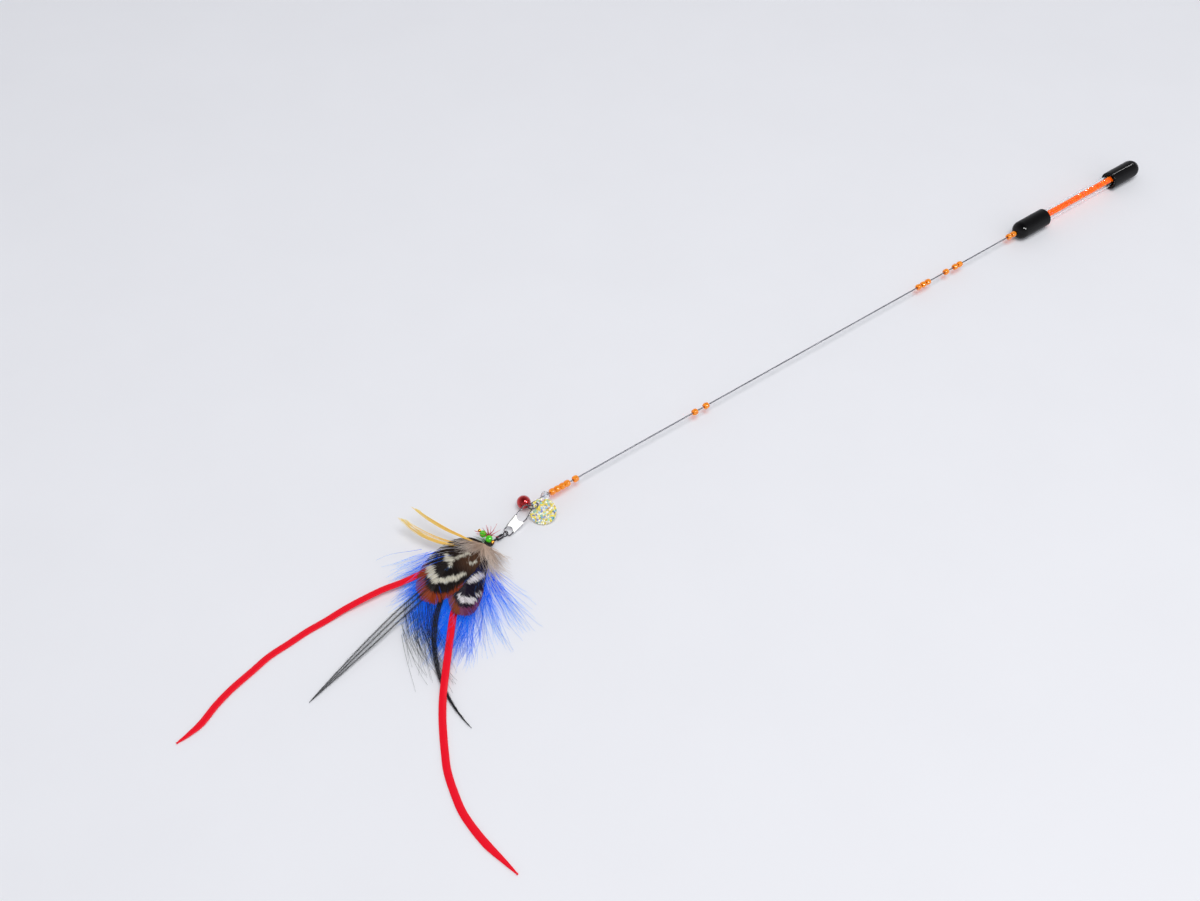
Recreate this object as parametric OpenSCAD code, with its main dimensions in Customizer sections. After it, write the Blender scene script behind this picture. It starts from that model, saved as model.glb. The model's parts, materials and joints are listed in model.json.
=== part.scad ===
// Cat teaser wand: a clear tube handle filled with tiny beads and closed by two dome caps, a straight
// spring wire with loose beads, and a feather lure clipped to the wire's end loop with a snap swivel.
// Millimetres. The wand's axis is X: +X points out of the rear cap, and the lure lies at negative X.
// The origin is on that axis at the rear end face of the clear tube. The wand lies on a flat surface.

/* [Handle] */
// Outer diameter of the two end caps
cap_od = 12; // [11:0.5:16]
// Straight part of a cap, from its open rim to its dome
cap_skirt = 22.2; // [18:0.1:30]
// Rounding of a cap's open rim
cap_edge = 0.6; // [0.2:0.1:1]
// Depth of the tube inside each cap
tube_seat = 21.2; // [15:0.1:22]
// Outer diameter of the clear tube
tube_od = 8; // [7.5:0.1:9]
// Wall of the clear tube
tube_wall = 0.7; // [0.5:0.05:0.9]
// Length of clear tube seen between the caps
tube_shown = 65.1; // [40:0.1:120]
// Radial clearance of the pushed-on and pushed-in pieces
push_fit = 0.05; // [0.02:0.01:0.08]
// Outer diameter of the clear liner inside the tube
liner_od = 5.4; // [4.6:0.1:5.6]
// Wall of the liner
liner_wall = 0.3; // [0.2:0.05:0.5]
// How far the liner lies off the tube's axis
liner_shift = 0.45; // [0:0.05:0.5]
// Direction in which the liner lies, from the far side towards the top
liner_turn = 45; // [0:5:90]
// Length of the plug that holds the wire in the tube's front end
plug_len = 8; // [5:0.5:12]
// Length of the wire's bent foot behind the plug
foot_len = 2; // [1.5:0.1:2.4]

/* [Wire] */
// Diameter of the spring wire
wire_d = 0.8; // [0.6:0.05:0.9]
// Free length of the wire from the front cap's nose to the far side of its end loop
wire_free = 394.3; // [380:0.1:420]
// Radius of the end loop at the middle of the wire
eye_r = 2.8; // [2.6:0.05:3]
// How far the end loop rises on the wire's near side, in degrees
eye_rise = 20; // [10:1:30]
// Part of a full turn that the end loop goes round
eye_sweep = 315; // [300:5:320]

/* [Wire beads] */
// Outer diameter of a wire bead
bead_d = 4; // [3:0.1:4.4]
// Length of a wire bead
bead_len = 3.3; // [2.5:0.1:3.6]
// Hole through a wire bead and through the crystal
bead_hole = 1.4; // [1.3:0.05:1.8]
// Rounding of a wire bead's edges
bead_round = 0.9; // [0.5:0.05:1]
// Step between touching beads
tight_step = 3.4; // [3.35:0.05:4]
// Step between beads that have a small gap
loose_step = 4.1; // [3.9:0.05:4.5]
// Gap between the front cap's nose and the first bead
nose_gap = 0.3; // [0.2:0.1:1]
// Distance from the nose to the rear pair's first bead
rear_pair_at = 52.6; // [48:0.1:56]
// Distance from the nose to the rear single bead
rear_single_at = 65; // [62:0.1:70]
// Distance from the nose to the rear three's first bead
rear_three_at = 81.5; // [76:0.1:90]
// Distance from the nose to the middle rear bead
mid_rear_at = 265.2; // [255:0.1:266]
// Distance from the nose to the middle front bead
mid_front_at = 273.7; // [272:0.1:280]
// Distance from the nose to the front single bead
front_single_at = 360.4; // [355:0.1:361]
// Distance from the nose to the front four's first bead
front_four_at = 366.2; // [366:0.1:368]
// Diameter of the faceted crystal
crystal_d = 5.4; // [5:0.1:6]
// Length of the crystal
crystal_len = 5; // [4.6:0.1:5.4]
// Distance from the nose to the crystal
crystal_at = 381.4; // [381:0.1:382.2]

/* [Bell] */
// Outer diameter of the bell
bell_d = 8; // [7:0.1:8.4]
// Wall of the bell
bell_wall = 0.35; // [0.25:0.05:0.5]
// Width of the bell's sound slots
bell_slot = 0.7; // [0.5:0.1:1]
// Diameter of the loose ball in the bell
pea_d = 2.4; // [2:0.1:3]
// Radius of the bell's ear at the middle of its wire
ear_r = 1.05; // [1:0.05:1.2]
// Diameter of the ear's wire
ear_wire = 0.6; // [0.5:0.05:0.65]

/* [Sequin] */
// Diameter of the sequin
sequin_d = 15; // [13:0.1:15.2]
// Thickness of the sequin
sequin_t = 0.3; // [0.2:0.05:0.5]
// Hole in the sequin
sequin_hole = 2.5; // [2.3:0.1:2.8]
// Distance from the sequin's hole to its middle
sequin_hang = 5.2; // [5:0.1:5.4]
// Slope of the sequin as it leans on the surface
sequin_tilt = 28; // [24:1:29]
// Sideways lean of the sequin
sequin_roll = 20; // [10:1:22]
// Heading of the sequin from the wire's loop
sequin_heading = -84; // [-90:1:-80]

/* [Snap and swivel] */
// Diameter of the snap's wire
snap_wire = 0.7; // [0.6:0.05:0.75]
// Length of the snap, from its peak's bend to its foot
snap_len = 20.6; // [19:0.1:22]
// Width of the snap across its widest corners
snap_wid = 6.4; // [6:0.1:7]
// Bend radius of the snap's corners
corner_bend = 1.1; // [0.8:0.1:1.3]
// Bend radius of the snap's elbow on the near side
elbow_bend = 5; // [3:0.5:7]
// Length of the snap's clasp plate
plate_len = 7.6; // [6:0.1:9]
// Thickness of the clasp plate
plate_t = 0.3; // [0.2:0.05:0.4]
// Distance from the peak's bend to the clasp plate
plate_at = 8.1; // [8:0.1:9]
// Depth of the notch in each end of the clasp plate
plate_notch = 1.3; // [0.8:0.1:1.8]
// Heading of the snap, from the wire's line towards the near side
snap_yaw = 9; // [6:0.5:12]
// Fall of the snap towards its foot
snap_fall = 15.5; // [14:0.5:16]
// Roll of the snap, its near side lower
snap_roll = 25; // [20:1:30]
// How far the wire's loop lies inside the snap's peak
snap_slack = 1.5; // [1.2:0.1:1.8]
// How far the snap has slipped along the loop's wire
snap_slip = 0.5; // [0.3:0.1:0.7]
// Diameter of the swivel's eye wire
swivel_wire = 0.6; // [0.5:0.05:0.65]
// Radius of a swivel eye at the middle of its wire
swivel_eye_r = 1.5; // [1.4:0.05:1.7]
// Outer diameter of the swivel's barrel
barrel_d = 2.6; // [2.4:0.1:3]
// Length of the swivel's barrel
barrel_len = 4.2; // [3.6:0.1:5]
// Heading of the swivel, from the wire's line towards the near side
swivel_yaw = 4; // [0:1:8]
// Rise of the swivel towards the lure
swivel_rise = 4; // [2:0.5:6]

/* [Lure head] */
// Greatest diameter of the thread-bound head
head_d = 4.4; // [3.8:0.1:5]
// Length of the bound head
head_len = 6.4; // [5.5:0.1:8]
// Diameter of the binding thread
thread_d = 0.5; // [0.4:0.05:0.6]
// Diameter of a green side bead
eye_bead_d = 4; // [3.6:0.1:4.4]
// Hole through a green side bead
eye_bead_hole = 1; // [0.8:0.1:1.2]
// Distance from the head's axis to the middle of a green side bead
eye_bead_out = 2.4; // [2.3:0.1:3]
// Height of the green beads above the head's axis
eye_bead_up = 4.3; // [4.2:0.1:5]
// How far the green beads lie to the head's far side
eye_bead_side = 2.4; // [1.5:0.1:3]
// Diameter of a gold stop bead
gold_bead_d = 2; // [1.8:0.1:2.2]
// Diameter of the cross thread that carries the green beads
cross_thread_d = 0.6; // [0.5:0.1:0.7]
// Length of a loose red thread end
tail_len = 8; // [5:0.5:10]

/* [Feathers] */
// Length of the large spotted feather
large_len = 46; // [40:1:52]
// Width of the large spotted feather
large_wid = 27; // [22:1:30]
// Length of the small spotted feather
small_len = 48; // [42:1:54]
// Width of the small spotted feather
small_wid = 18; // [15:1:20]
// Length of the upper crest feather
crest_a_len = 45; // [38:1:50]
// Width of the upper crest feather
crest_a_wid = 3; // [2:0.2:4]
// Length of the lower crest feather
crest_b_len = 50; // [44:1:56]
// Width of the lower crest feather
crest_b_wid = 3; // [2:0.2:4]
// Length of the long dark hackle
hackle_a_len = 129; // [110:1:140]
// Width of the long dark hackle
hackle_a_wid = 7; // [5:0.5:9]
// Length of the curved dark hackle
hackle_b_len = 112; // [100:1:125]
// Width of the curved dark hackle
hackle_b_wid = 7; // [5:0.5:9]
// Thickness of a feather's vane
vane_t = 0.6; // [0.4:0.1:0.8]
// Diameter of a feather's quill
quill_d = 0.5; // [0.4:0.05:0.55]
// Reach of the blue marabou fan
fan_reach = 73; // [60:1:78]
// Height of the marabou fan
fan_t = 2.6; // [2:0.1:2.8]
// Reach of the grey down tuft
down_reach = 40; // [34:1:46]
// Height of the down tuft
down_t = 1.4; // [1:0.1:1.6]

/* [Ribbons] */
// Width of a ribbon strip
ribbon_w = 4; // [3:0.1:5]
// Thickness of a ribbon strip
ribbon_t = 0.8; // [0.5:0.1:1]

/* [Hidden] */
$fn = 48;
overrun = 1;

// Handle
cap_r = cap_od / 2;
floor_z = -cap_r;
tube_len = 2 * tube_seat + tube_shown;
tube_id = tube_od - 2 * tube_wall;
cap_bore_r = tube_od / 2 + push_fit;
nose_x = -tube_len + tube_seat - cap_skirt - cap_r;
foot_x = -tube_len + plug_len + wire_d / 2 + push_fit;
liner_front = foot_x + wire_d;
liner_back = -push_fit;
liner_len = liner_back - liner_front;
liner_id = liner_od - 2 * liner_wall;

// End loop of the wire: to_wire points from the loop's middle to the straight wire
eye_x = nose_x - wire_free + wire_d / 2 + eye_r;
to_wire = [0, cos(eye_rise), -sin(eye_rise)];
eye_mid = [eye_x, 0, 0] - eye_r * to_wire;
function on_eye(turn) = eye_mid + eye_r * (cos(turn) * [1, 0, 0] + sin(turn) * to_wire);

// Places on the loop, in degrees round it from its end nearest the handle
sequin_turn = -10;
bell_turn = 110;
snap_turn = 180;

// Bell: its ear hangs on the loop, and the bell lies on the far side
ear_out = bell_d / 2 + ear_r - ear_wire / 4;
bell_reach = ear_out + (ear_r - ear_wire / 2 - wire_d / 2) / 2;
bell_heading = 102;
bell_fall = 23;

// Snap: the loop's wire runs in the bend at the snap's peak, and the snap's places count from there
snap_gap = 0.15;
snap_at = on_eye(snap_turn);
snap_dir = [-cos(snap_yaw) * cos(snap_fall), -sin(snap_yaw) * cos(snap_fall), -sin(snap_fall)];
snap_level = cross([0, 0, 1], snap_dir) / norm(cross([0, 0, 1], snap_dir));
snap_near = cos(snap_roll) * snap_level - sin(snap_roll) * cross(snap_dir, snap_level);
snap_up = cross(snap_dir, snap_near);
peak_bend = wire_d / 2 + snap_wire / 2 + 2 * snap_gap;
// Corners of the snap's wire, each a share of its width towards the near side and of its length
snap_outline_shares = [[0.42, 1], [-0.28, 1], [-0.57, 0.12], [0.08, -0.1], [0.43, 0.35]];
snap_corners = [for (pair = snap_outline_shares) [pair[0] * snap_wid, pair[1] * snap_len]];
snap_bends = [corner_bend, corner_bend, corner_bend, peak_bend, elbow_bend];
peak = 3;
function unit(v) = v / norm(v);
function leaving(points, i) = unit(points[(i + 1) % len(points)] - points[i]);
function coming(points, i) = unit(points[i] - points[(i + len(points) - 1) % len(points)]);
function bend_angle(points, i) = acos(coming(points, i) * leaving(points, i));
function bend_start(points, bends, i) =
    points[i] - bends[i] * tan(bend_angle(points, i) / 2) * coming(points, i);
function bend_mid(points, bends, i) =
    let (way = coming(points, i)) bend_start(points, bends, i) + bends[i] * [-way.y, way.x];
snap_origin = bend_mid(snap_corners, snap_bends, peak) + [-snap_slip, snap_slack];
snap_points = [for (one = snap_corners) one - snap_origin];

// Swivel
foot_mid = (snap_points[0] + snap_points[1]) / 2;
foot_at = snap_at + foot_mid.x * snap_near + foot_mid.y * snap_dir;
swivel_dir = [-cos(swivel_yaw) * cos(swivel_rise), -sin(swivel_yaw) * cos(swivel_rise), sin(swivel_rise)];
swivel_hook = swivel_eye_r - swivel_wire / 2 - snap_wire / 2 - snap_gap;
swivel_roll = 20;
run_fit = 0.06;
eye_to_barrel = swivel_eye_r + swivel_wire / 2 + run_fit;
barrel_wall = 0.4;
barrel_face = 0.5;
button_d = barrel_d - 2 * barrel_wall - 2 * run_fit;
button_t = 0.5;
// Distances from the snap's foot along the swivel
barrel_from = swivel_hook + eye_to_barrel;
lower_eye_at = barrel_from + barrel_len + eye_to_barrel;
head_from = lower_eye_at + swivel_eye_r - swivel_wire / 2;
head_to = head_from + head_len;

// Lure: the feathers' quills go into the head's rear end
function along(d) = foot_at + d * swivel_dir;
tie = along(head_to);
quill_ring_r = head_d * 0.3;
quill_hold = head_len / 5;

// Heights of the lure's layers above the surface that it lies on, as shares of the caps' diameter
hackle_high_share = 0.4;
down_high_share = 0.46;
small_high_share = 0.63;
large_high_share = 0.72;
lower_crest_high_share = 0.8;
upper_crest_high_share = 0.88;

// Routes of the ribbons, from the tie to the tip
side_route = [
    [-541.5, -8, -4.7], [-546, -8, -4.1], [-552, -7, -2.9], [-560, -6, -2.9], [-570, -4, -2.9],
    [-580, -3, -2.9], [-590, -2, -2.9], [-601, 0, -2.9], [-613, 1, -3.1], [-624, 2, -4.4],
    [-635, 2, -5.4], [-646, 2, -5.6], [-657, 1, -5.6], [-669, 0, -5.6], [-681, -3, -5.6],
    [-693, -6, -5.6], [-704, -10, -5.6], [-714, -15, -5.6], [-722, -17, -5.6], [-729, -18, -5.6]];
front_route = [
    [-541.5, -8, -3.8], [-545, -10, -3.2], [-549, -13, -2.3], [-556, -18, -2.1], [-564, -23, -2.4],
    [-571, -29, -2.9], [-578, -35, -2.9], [-586, -45, -2.9], [-593, -54, -2.9], [-600, -63, -3.1],
    [-607, -72, -4.6], [-613, -81, -5.6], [-618, -90, -5.6], [-623, -100, -5.6], [-627, -109, -5.6],
    [-630, -120, -5.6], [-632, -131, -5.6], [-632, -142, -5.6], [-631, -152, -5.6], [-629, -162, -5.6],
    [-627, -172, -5.6]];
tip_shares = [1, 1, 0.8, 0.45, 0.12];

// A rod with round ends between two points
module rod(from, to, d) {
    run = to - from;
    turn = atan2(run.y, run.x);
    drop = acos(run.z / norm(run));
    translate(from) {
        sphere(d = d);
        rotate([0, drop, turn])
            cylinder(h = norm(run), d = d);
    }
    translate(to)
        sphere(d = d);
}

// Children drawn along +Z are placed at a point and turned to a direction
module aim(at, dir, roll = 0) {
    translate(at)
        rotate([0, acos(dir.z / norm(dir)), atan2(dir.y, dir.x)])
            rotate([0, 0, roll])
                children();
}

// A band of revolution with round edges, open along its axis
module round_band(hole, od, len, edge) {
    half = (od - hole) / 2;
    rotate_extrude()
        translate([hole / 2, -len / 2]) {
            translate([edge, 0])
                square([half - 2 * edge, len]);
            translate([0, edge])
                square([half, len - 2 * edge]);
            for (x = [edge, half - edge])
                for (z = [edge, len - edge])
                    translate([x, z])
                        circle(r = edge);
        }
}

module ring(r, d) {
    rotate_extrude()
        translate([r, 0])
            circle(d = d);
}

// Handle pieces
module cap_body() {
    rotate_extrude()
        difference() {
            union() {
                translate([0, cap_edge])
                    square([cap_r, cap_skirt - cap_edge]);
                square([cap_r - cap_edge, cap_edge]);
                translate([cap_r - cap_edge, cap_edge])
                    circle(r = cap_edge);
                intersection() {
                    translate([0, cap_skirt])
                        circle(r = cap_r);
                    translate([0, cap_skirt])
                        square([cap_r, cap_r]);
                }
            }
            translate([0, -overrun])
                square([cap_bore_r, cap_skirt + overrun]);
            intersection() {
                translate([0, cap_skirt])
                    circle(r = cap_bore_r);
                translate([0, cap_skirt])
                    square([cap_bore_r, cap_bore_r]);
            }
        }
}

module rear_cap() {
    color("black")
        translate([-tube_seat, 0, 0])
            rotate([0, 90, 0])
                cap_body();
}

module front_cap() {
    color("black")
        translate([-tube_len + tube_seat, 0, 0])
            rotate([0, -90, 0])
                difference() {
                    cap_body();
                    cylinder(h = cap_skirt + cap_r + overrun, r = wire_d / 2 + push_fit);
                }
}

module tube_between(from, to, od, id) {
    translate([from, 0, 0])
        rotate([0, 90, 0])
            difference() {
                cylinder(h = to - from, d = od);
                translate([0, 0, -overrun])
                    cylinder(h = to - from + 2 * overrun, d = id);
            }
}

module grip_tube() {
    color([0.9, 0.95, 1, 0.35])
        tube_between(-tube_len, 0, tube_od, tube_id);
}

module at_liner() {
    translate([0, liner_shift * cos(liner_turn), liner_shift * sin(liner_turn)])
        children();
}

module bead_liner() {
    color([0.95, 0.97, 1, 0.3])
        at_liner()
            tube_between(liner_front, liner_back, liner_od, liner_id);
}

module bead_fill() {
    color([1, 0.47, 0])
        at_liner()
            translate([liner_front, 0, 0])
                rotate([0, 90, 0])
                    cylinder(h = liner_len, d = liner_id - 2 * push_fit);
}

module wire_plug() {
    color("whitesmoke")
        tube_between(-tube_len, -tube_len + plug_len, tube_id - 2 * push_fit, wire_d + 2 * push_fit);
}

// The wire is one piece: its straight run and its end loop are drawn apart and meet face to face
module main_wire() {
    color([0.42, 0.42, 0.44]) {
        translate([eye_x, 0, 0])
            rotate([0, 90, 0])
                cylinder(h = foot_x - eye_x, d = wire_d);
        rod([foot_x, 0, 0], [foot_x, 0, foot_len], wire_d);
    }
}

module wire_end_loop() {
    color([0.42, 0.42, 0.44])
        translate(eye_mid)
            rotate([-eye_rise, 0, 0])
                rotate([0, 0, 90])
                    rotate_extrude(angle = eye_sweep)
                        translate([eye_r, 0])
                            circle(d = wire_d);
}

// Beads that slide on the wire: the first one's distance from the nose, and the step to the next
module wire_beads(at, count, step) {
    color([0.96, 0.58, 0.04])
        for (i = [0 : count - 1])
            translate([nose_x - at - i * step, 0, 0])
                rotate([0, 90, 0])
                    round_band(bead_hole, bead_d, bead_len, bead_round / 2);
}

module nose_beads() {
    wire_beads(nose_gap + bead_len / 2, 2, loose_step);
}

module rear_pair_beads() {
    wire_beads(rear_pair_at, 2, loose_step);
}

module rear_single_bead() {
    wire_beads(rear_single_at, 1, loose_step);
}

module rear_three_beads() {
    wire_beads(rear_three_at, 3, loose_step);
}

module middle_rear_bead() {
    wire_beads(mid_rear_at, 1, loose_step);
}

module middle_front_bead() {
    wire_beads(mid_front_at, 1, loose_step);
}

module front_single_bead() {
    wire_beads(front_single_at, 1, tight_step);
}

module front_four_beads() {
    wire_beads(front_four_at, 4, tight_step);
}

module crystal_bead() {
    facets = 8;
    table_share = 0.45;
    belt_share = 0.16;
    belt = crystal_len * belt_share;
    crown = (crystal_len - belt) / 2;
    color([0.93, 0.96, 1, 0.5])
        translate([nose_x - crystal_at, 0, 0])
            rotate([0, 90, 0])
                difference() {
                    union() {
                        cylinder(h = belt, d = crystal_d, center = true, $fn = facets);
                        for (side = [0, 180])
                            rotate([side, 0, 0])
                                translate([0, 0, belt / 2])
                                    cylinder(h = crown, d1 = crystal_d, d2 = crystal_d * table_share,
                                             $fn = facets);
                    }
                    cylinder(h = crystal_len + overrun, d = bead_hole, center = true);
                }
}

// Bell, drawn with its ear along +Z and the slots at the other end
bell_out = [cos(bell_heading) * cos(bell_fall), sin(bell_heading) * cos(bell_fall), -sin(bell_fall)];
bell_mid = on_eye(bell_turn) + bell_reach * bell_out;

module bell_shell() {
    slot_end = bell_slot * 1.6;
    color([0.78, 0, 0.08])
        aim(bell_mid, -bell_out, 0) {
            difference() {
                sphere(d = bell_d);
                sphere(d = bell_d - 2 * bell_wall);
                for (turn = [45, 135])
                    rotate([0, 0, turn]) {
                        translate([-bell_d / 3, -bell_slot / 2, -bell_d])
                            cube([bell_d * 2 / 3, bell_slot, bell_d]);
                        for (side = [-1, 1])
                            translate([side * bell_d / 3, 0, -bell_d])
                                cylinder(h = bell_d, d = slot_end);
                    }
            }
            translate([0, 0, ear_out])
                rotate([90, 0, 0])
                    ring(ear_r, ear_wire);
        }
}

module bell_ball() {
    color("silver")
        translate(bell_mid - [0, 0, bell_d / 2 - bell_wall - pea_d / 2 - push_fit])
            sphere(d = pea_d);
}

// Sequin, its hole on the loop's wire and its middle along +X before it is turned
module sequin() {
    color([0.85, 0.9, 0.6])
        translate(on_eye(sequin_turn))
            rotate([0, 0, sequin_heading])
                rotate([0, sequin_tilt, 0])
                    rotate([sequin_roll, 0, 0])
                        difference() {
                            translate([sequin_hang, 0, -sequin_t / 2])
                                cylinder(h = sequin_t, d = sequin_d);
                            cylinder(h = sequin_t + overrun, d = sequin_hole, center = true);
                        }
}

// Rings of equal count joined to a tube in triangles, with flat ends or closed on itself
module swept(rings, closed = false) {
    n = len(rings);
    m = len(rings[0]);
    points = [for (one = rings) for (p = one) p];
    sides = [for (i = [0 : closed ? n - 1 : n - 2]) for (k = [0 : m - 1])
        let (a = i * m + k, b = i * m + (k + 1) % m, c = (a + m) % (n * m), d = (b + m) % (n * m))
        for (face = [[a, d, b], [a, c, d]]) face];
    ends = closed ? [] : [for (k = [1 : m - 2]) for (face = [[0, k, k + 1],
        [(n - 1) * m, (n - 1) * m + k + 1, (n - 1) * m + k]]) face];
    polyhedron(points = points, faces = concat(sides, ends));
}

// Snap, drawn flat: x runs across it to its near side, y up from it and z along it to its foot
module at_snap() {
    multmatrix([
        [snap_near.x, snap_up.x, snap_dir.x, snap_at.x],
        [snap_near.y, snap_up.y, snap_dir.y, snap_at.y],
        [snap_near.z, snap_up.z, snap_dir.z, snap_at.z],
        [0, 0, 0, 1]])
        children();
}

// A closed bent wire in the XY plane, its corners given anticlockwise: rings round each bend
bend_steps = 6;
wire_sides = 12;
function bent_rings(points, bends, d) = [for (i = [0 : len(points) - 1]) for (k = [0 : bend_steps])
    let (way = coming(points, i),
         a = atan2(-way.x, way.y) + bend_angle(points, i) * k / bend_steps,
         out = [cos(a), sin(a), 0],
         mid = bend_mid(points, bends, i))
    [for (j = [0 : wire_sides - 1])
        let (t = 360 * j / wire_sides)
        [mid.x, mid.y, 0] + bends[i] * out + d / 2 * (cos(t) * out + sin(t) * [0, 0, 1])]];

module snap_wire_loop() {
    color([0.5, 0.5, 0.52])
        at_snap()
            rotate([90, 0, 0])
                swept(bent_rings(snap_points, snap_bends, snap_wire), true);
}

// Where a leg of the snap lies at a distance from the peak's bend
function leg_x(from, to, along) = from.x + (to.x - from.x) * (along - from.y) / (to.y - from.y);

// Clasp plate: a sheet above the two legs, its long edges rolled round them
module snap_plate() {
    roll_r = snap_wire / 2 + push_fit + plate_t;
    sheet_y = snap_wire / 2 + 2 * push_fit;
    legs = [[snap_points[1], snap_points[2]], [snap_points[0], snap_points[4]]];
    plate_to = plate_at + plate_len;
    ends = [for (leg = legs) [for (along = [plate_at, plate_to]) leg_x(leg[0], leg[1], along)]];
    middle = [for (k = [0, 1]) (ends[0][k] + ends[1][k]) / 2];
    color([0.78, 0.78, 0.76])
        at_snap()
            difference() {
                union() {
                    translate([0, sheet_y + plate_t, 0])
                        rotate([90, 0, 0])
                            linear_extrude(plate_t)
                                polygon([[ends[0][0], plate_at], [middle[0], plate_at + plate_notch],
                                         [ends[1][0], plate_at], [ends[1][1], plate_to],
                                         [middle[1], plate_to - plate_notch], [ends[0][1], plate_to]]);
                    for (side = ends)
                        along_leg(side, plate_to, 0)
                            cylinder(h = norm([side[1] - side[0], plate_len]), r = roll_r);
                }
                for (side = ends)
                    along_leg(side, plate_to, overrun)
                        cylinder(h = plate_len + 3 * overrun, r = snap_wire / 2 + push_fit);
            }
}

module along_leg(side, plate_to, before) {
    translate([side[0], 0, plate_at])
        rotate([0, atan2(side[1] - side[0], plate_to - plate_at), 0])
            translate([0, 0, -before])
                children();
}

// Swivel eye, drawn with its ring's middle at the origin and its shank along +Z
module swivel_eye() {
    shank_to = eye_to_barrel + barrel_face + button_t;
    rotate([90, 0, 0])
        ring(swivel_eye_r, swivel_wire);
    translate([0, 0, swivel_eye_r])
        cylinder(h = shank_to - swivel_eye_r, d = swivel_wire);
    translate([0, 0, eye_to_barrel + barrel_face + run_fit])
        cylinder(h = button_t, d = button_d);
}

module swivel_upper_eye() {
    color([0.2, 0.2, 0.22])
        aim(along(swivel_hook), swivel_dir, swivel_roll)
            swivel_eye();
}

module swivel_lower_eye() {
    color([0.2, 0.2, 0.22])
        aim(along(lower_eye_at), -swivel_dir, swivel_roll)
            swivel_eye();
}

module swivel_barrel() {
    room = barrel_len - 2 * barrel_face;
    color([0.16, 0.15, 0.16])
        aim(along(barrel_from), swivel_dir)
            difference() {
                translate([0, 0, barrel_len / 2])
                    round_band(0, barrel_d, barrel_len, barrel_wall);
                translate([0, 0, barrel_face])
                    cylinder(h = room, d = barrel_d - 2 * barrel_wall);
                translate([0, 0, -overrun])
                    cylinder(h = barrel_len + 2 * overrun, r = swivel_wire / 2 + run_fit);
            }
}

// Head: a core with tapered ends, wound with thread
module head_core() {
    taper = head_len / 4;
    neck = head_d * 0.75;
    core = head_d - 2 * thread_d;
    color([0.3, 0.2, 0.12])
        aim(along(head_from), swivel_dir) {
            cylinder(h = taper, d1 = neck, d2 = core);
            translate([0, 0, taper])
                cylinder(h = head_len - 2 * taper, d = core);
            translate([0, 0, head_len - taper])
                cylinder(h = taper, d1 = core, d2 = neck);
        }
}

// Thread wound round the core: one tube along a helix
winding_turns = 4;
winding_steps = 24;
winding_pitch = thread_d * 1.9;
winding_r = head_d / 2 - thread_d / 2 + push_fit;
winding_sides = 6;
function winding_point(i) =
    let (a = 360 * i / winding_steps)
    [winding_r * cos(a), winding_r * sin(a), winding_pitch * i / winding_steps];
function winding_ring(i) =
    let (a = 360 * i / winding_steps,
         out = [cos(a), sin(a), 0],
         rise = atan2(winding_pitch, 360 * winding_r * PI / 180),
         way = [-sin(a) * cos(rise), cos(a) * cos(rise), sin(rise)],
         up = cross(out, way))
    [for (k = [0 : winding_sides - 1])
        winding_point(i)
            + thread_d / 2 * (cos(360 * k / winding_sides) * out + sin(360 * k / winding_sides) * up)];
winding_gap = min([for (i = [0 : (winding_turns - 1) * winding_steps])
    for (k = [winding_steps / 2 : winding_steps])
        norm(winding_point(i + k) - winding_point(i))]) - thread_d;

module head_thread() {
    echo("least gap between the head's turns of thread", winding_gap);
    color([0.12, 0.08, 0.06])
        aim(along(head_from + thread_d), swivel_dir)
            swept([for (i = [0 : winding_turns * winding_steps]) winding_ring(i)]);
}

// Side beads: a short thread over the head carries a green bead on each side
cross_share = 0.36;
cross_yaw = 10;
cross_dir = [-sin(cross_yaw), cos(cross_yaw), 0];
cross_mid = along(head_from + head_len * cross_share) + [0, eye_bead_side, eye_bead_up];

module cross_thread() {
    reach = eye_bead_out + eye_bead_d / 2 + gold_bead_d;
    color([0.7, 0.05, 0.12])
        aim(cross_mid - reach * cross_dir, cross_dir)
            cylinder(h = 2 * reach, d = cross_thread_d);
}

module green_beads() {
    color([0.2, 0.8, 0.05])
        for (side = [-1, 1])
            aim(cross_mid + side * eye_bead_out * cross_dir, cross_dir)
                difference() {
                    sphere(d = eye_bead_d);
                    cylinder(h = eye_bead_d + overrun, d = eye_bead_hole, center = true);
                }
}

module gold_beads() {
    out = eye_bead_out + eye_bead_d / 2 + gold_bead_d / 2;
    color([0.85, 0.62, 0.15])
        for (side = [-1, 1])
            aim(cross_mid + side * out * cross_dir, cross_dir)
                difference() {
                    sphere(d = gold_bead_d);
                    cylinder(h = gold_bead_d + overrun, d = eye_bead_hole, center = true);
                }
}

// Red thread: a knot in front of the beads and loose ends that stand up
tail_way_shares = [[0.6, -0.35, 0.75], [0.35, 0.05, 0.95], [-0.1, 0.3, 0.95]];
module red_thread() {
    knot_d = eye_bead_d / 2;
    knot_at = along(head_from + head_len * 0.08) + [0, eye_bead_side, head_d / 2 + knot_d / 2];
    color([0.75, 0.05, 0.15]) {
        translate(knot_at)
            sphere(d = knot_d);
        for (way = tail_way_shares)
            aim(knot_at, way)
                cylinder(h = tail_len, d = cross_thread_d / 2);
    }
}

// Feathers: a flat vane along a bowed line, and its quill back into the head
vane_steps = 22;
function bowed(s, len, bow) = [s * len, 4 * bow * len * s * (1 - s)];
function vane_half(s, wid, bulge, blunt) = wid / 2 * pow(sin(180 * pow(s, bulge)), blunt);
function vane_edge(len, wid, bow, bulge, blunt, side) =
    [for (i = [0 : vane_steps])
        let (s = i / vane_steps,
             run = [len, 4 * bow * len * (1 - 2 * s)],
             across = [-run.y, run.x] / norm(run),
             half = max(vane_half(s, wid, bulge, blunt), quill_d / 2))
        bowed(s, len, bow) + side * half * across];
function turned_back(list) = [for (i = [len(list) - 1 : -1 : 0]) list[i]];

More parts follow.
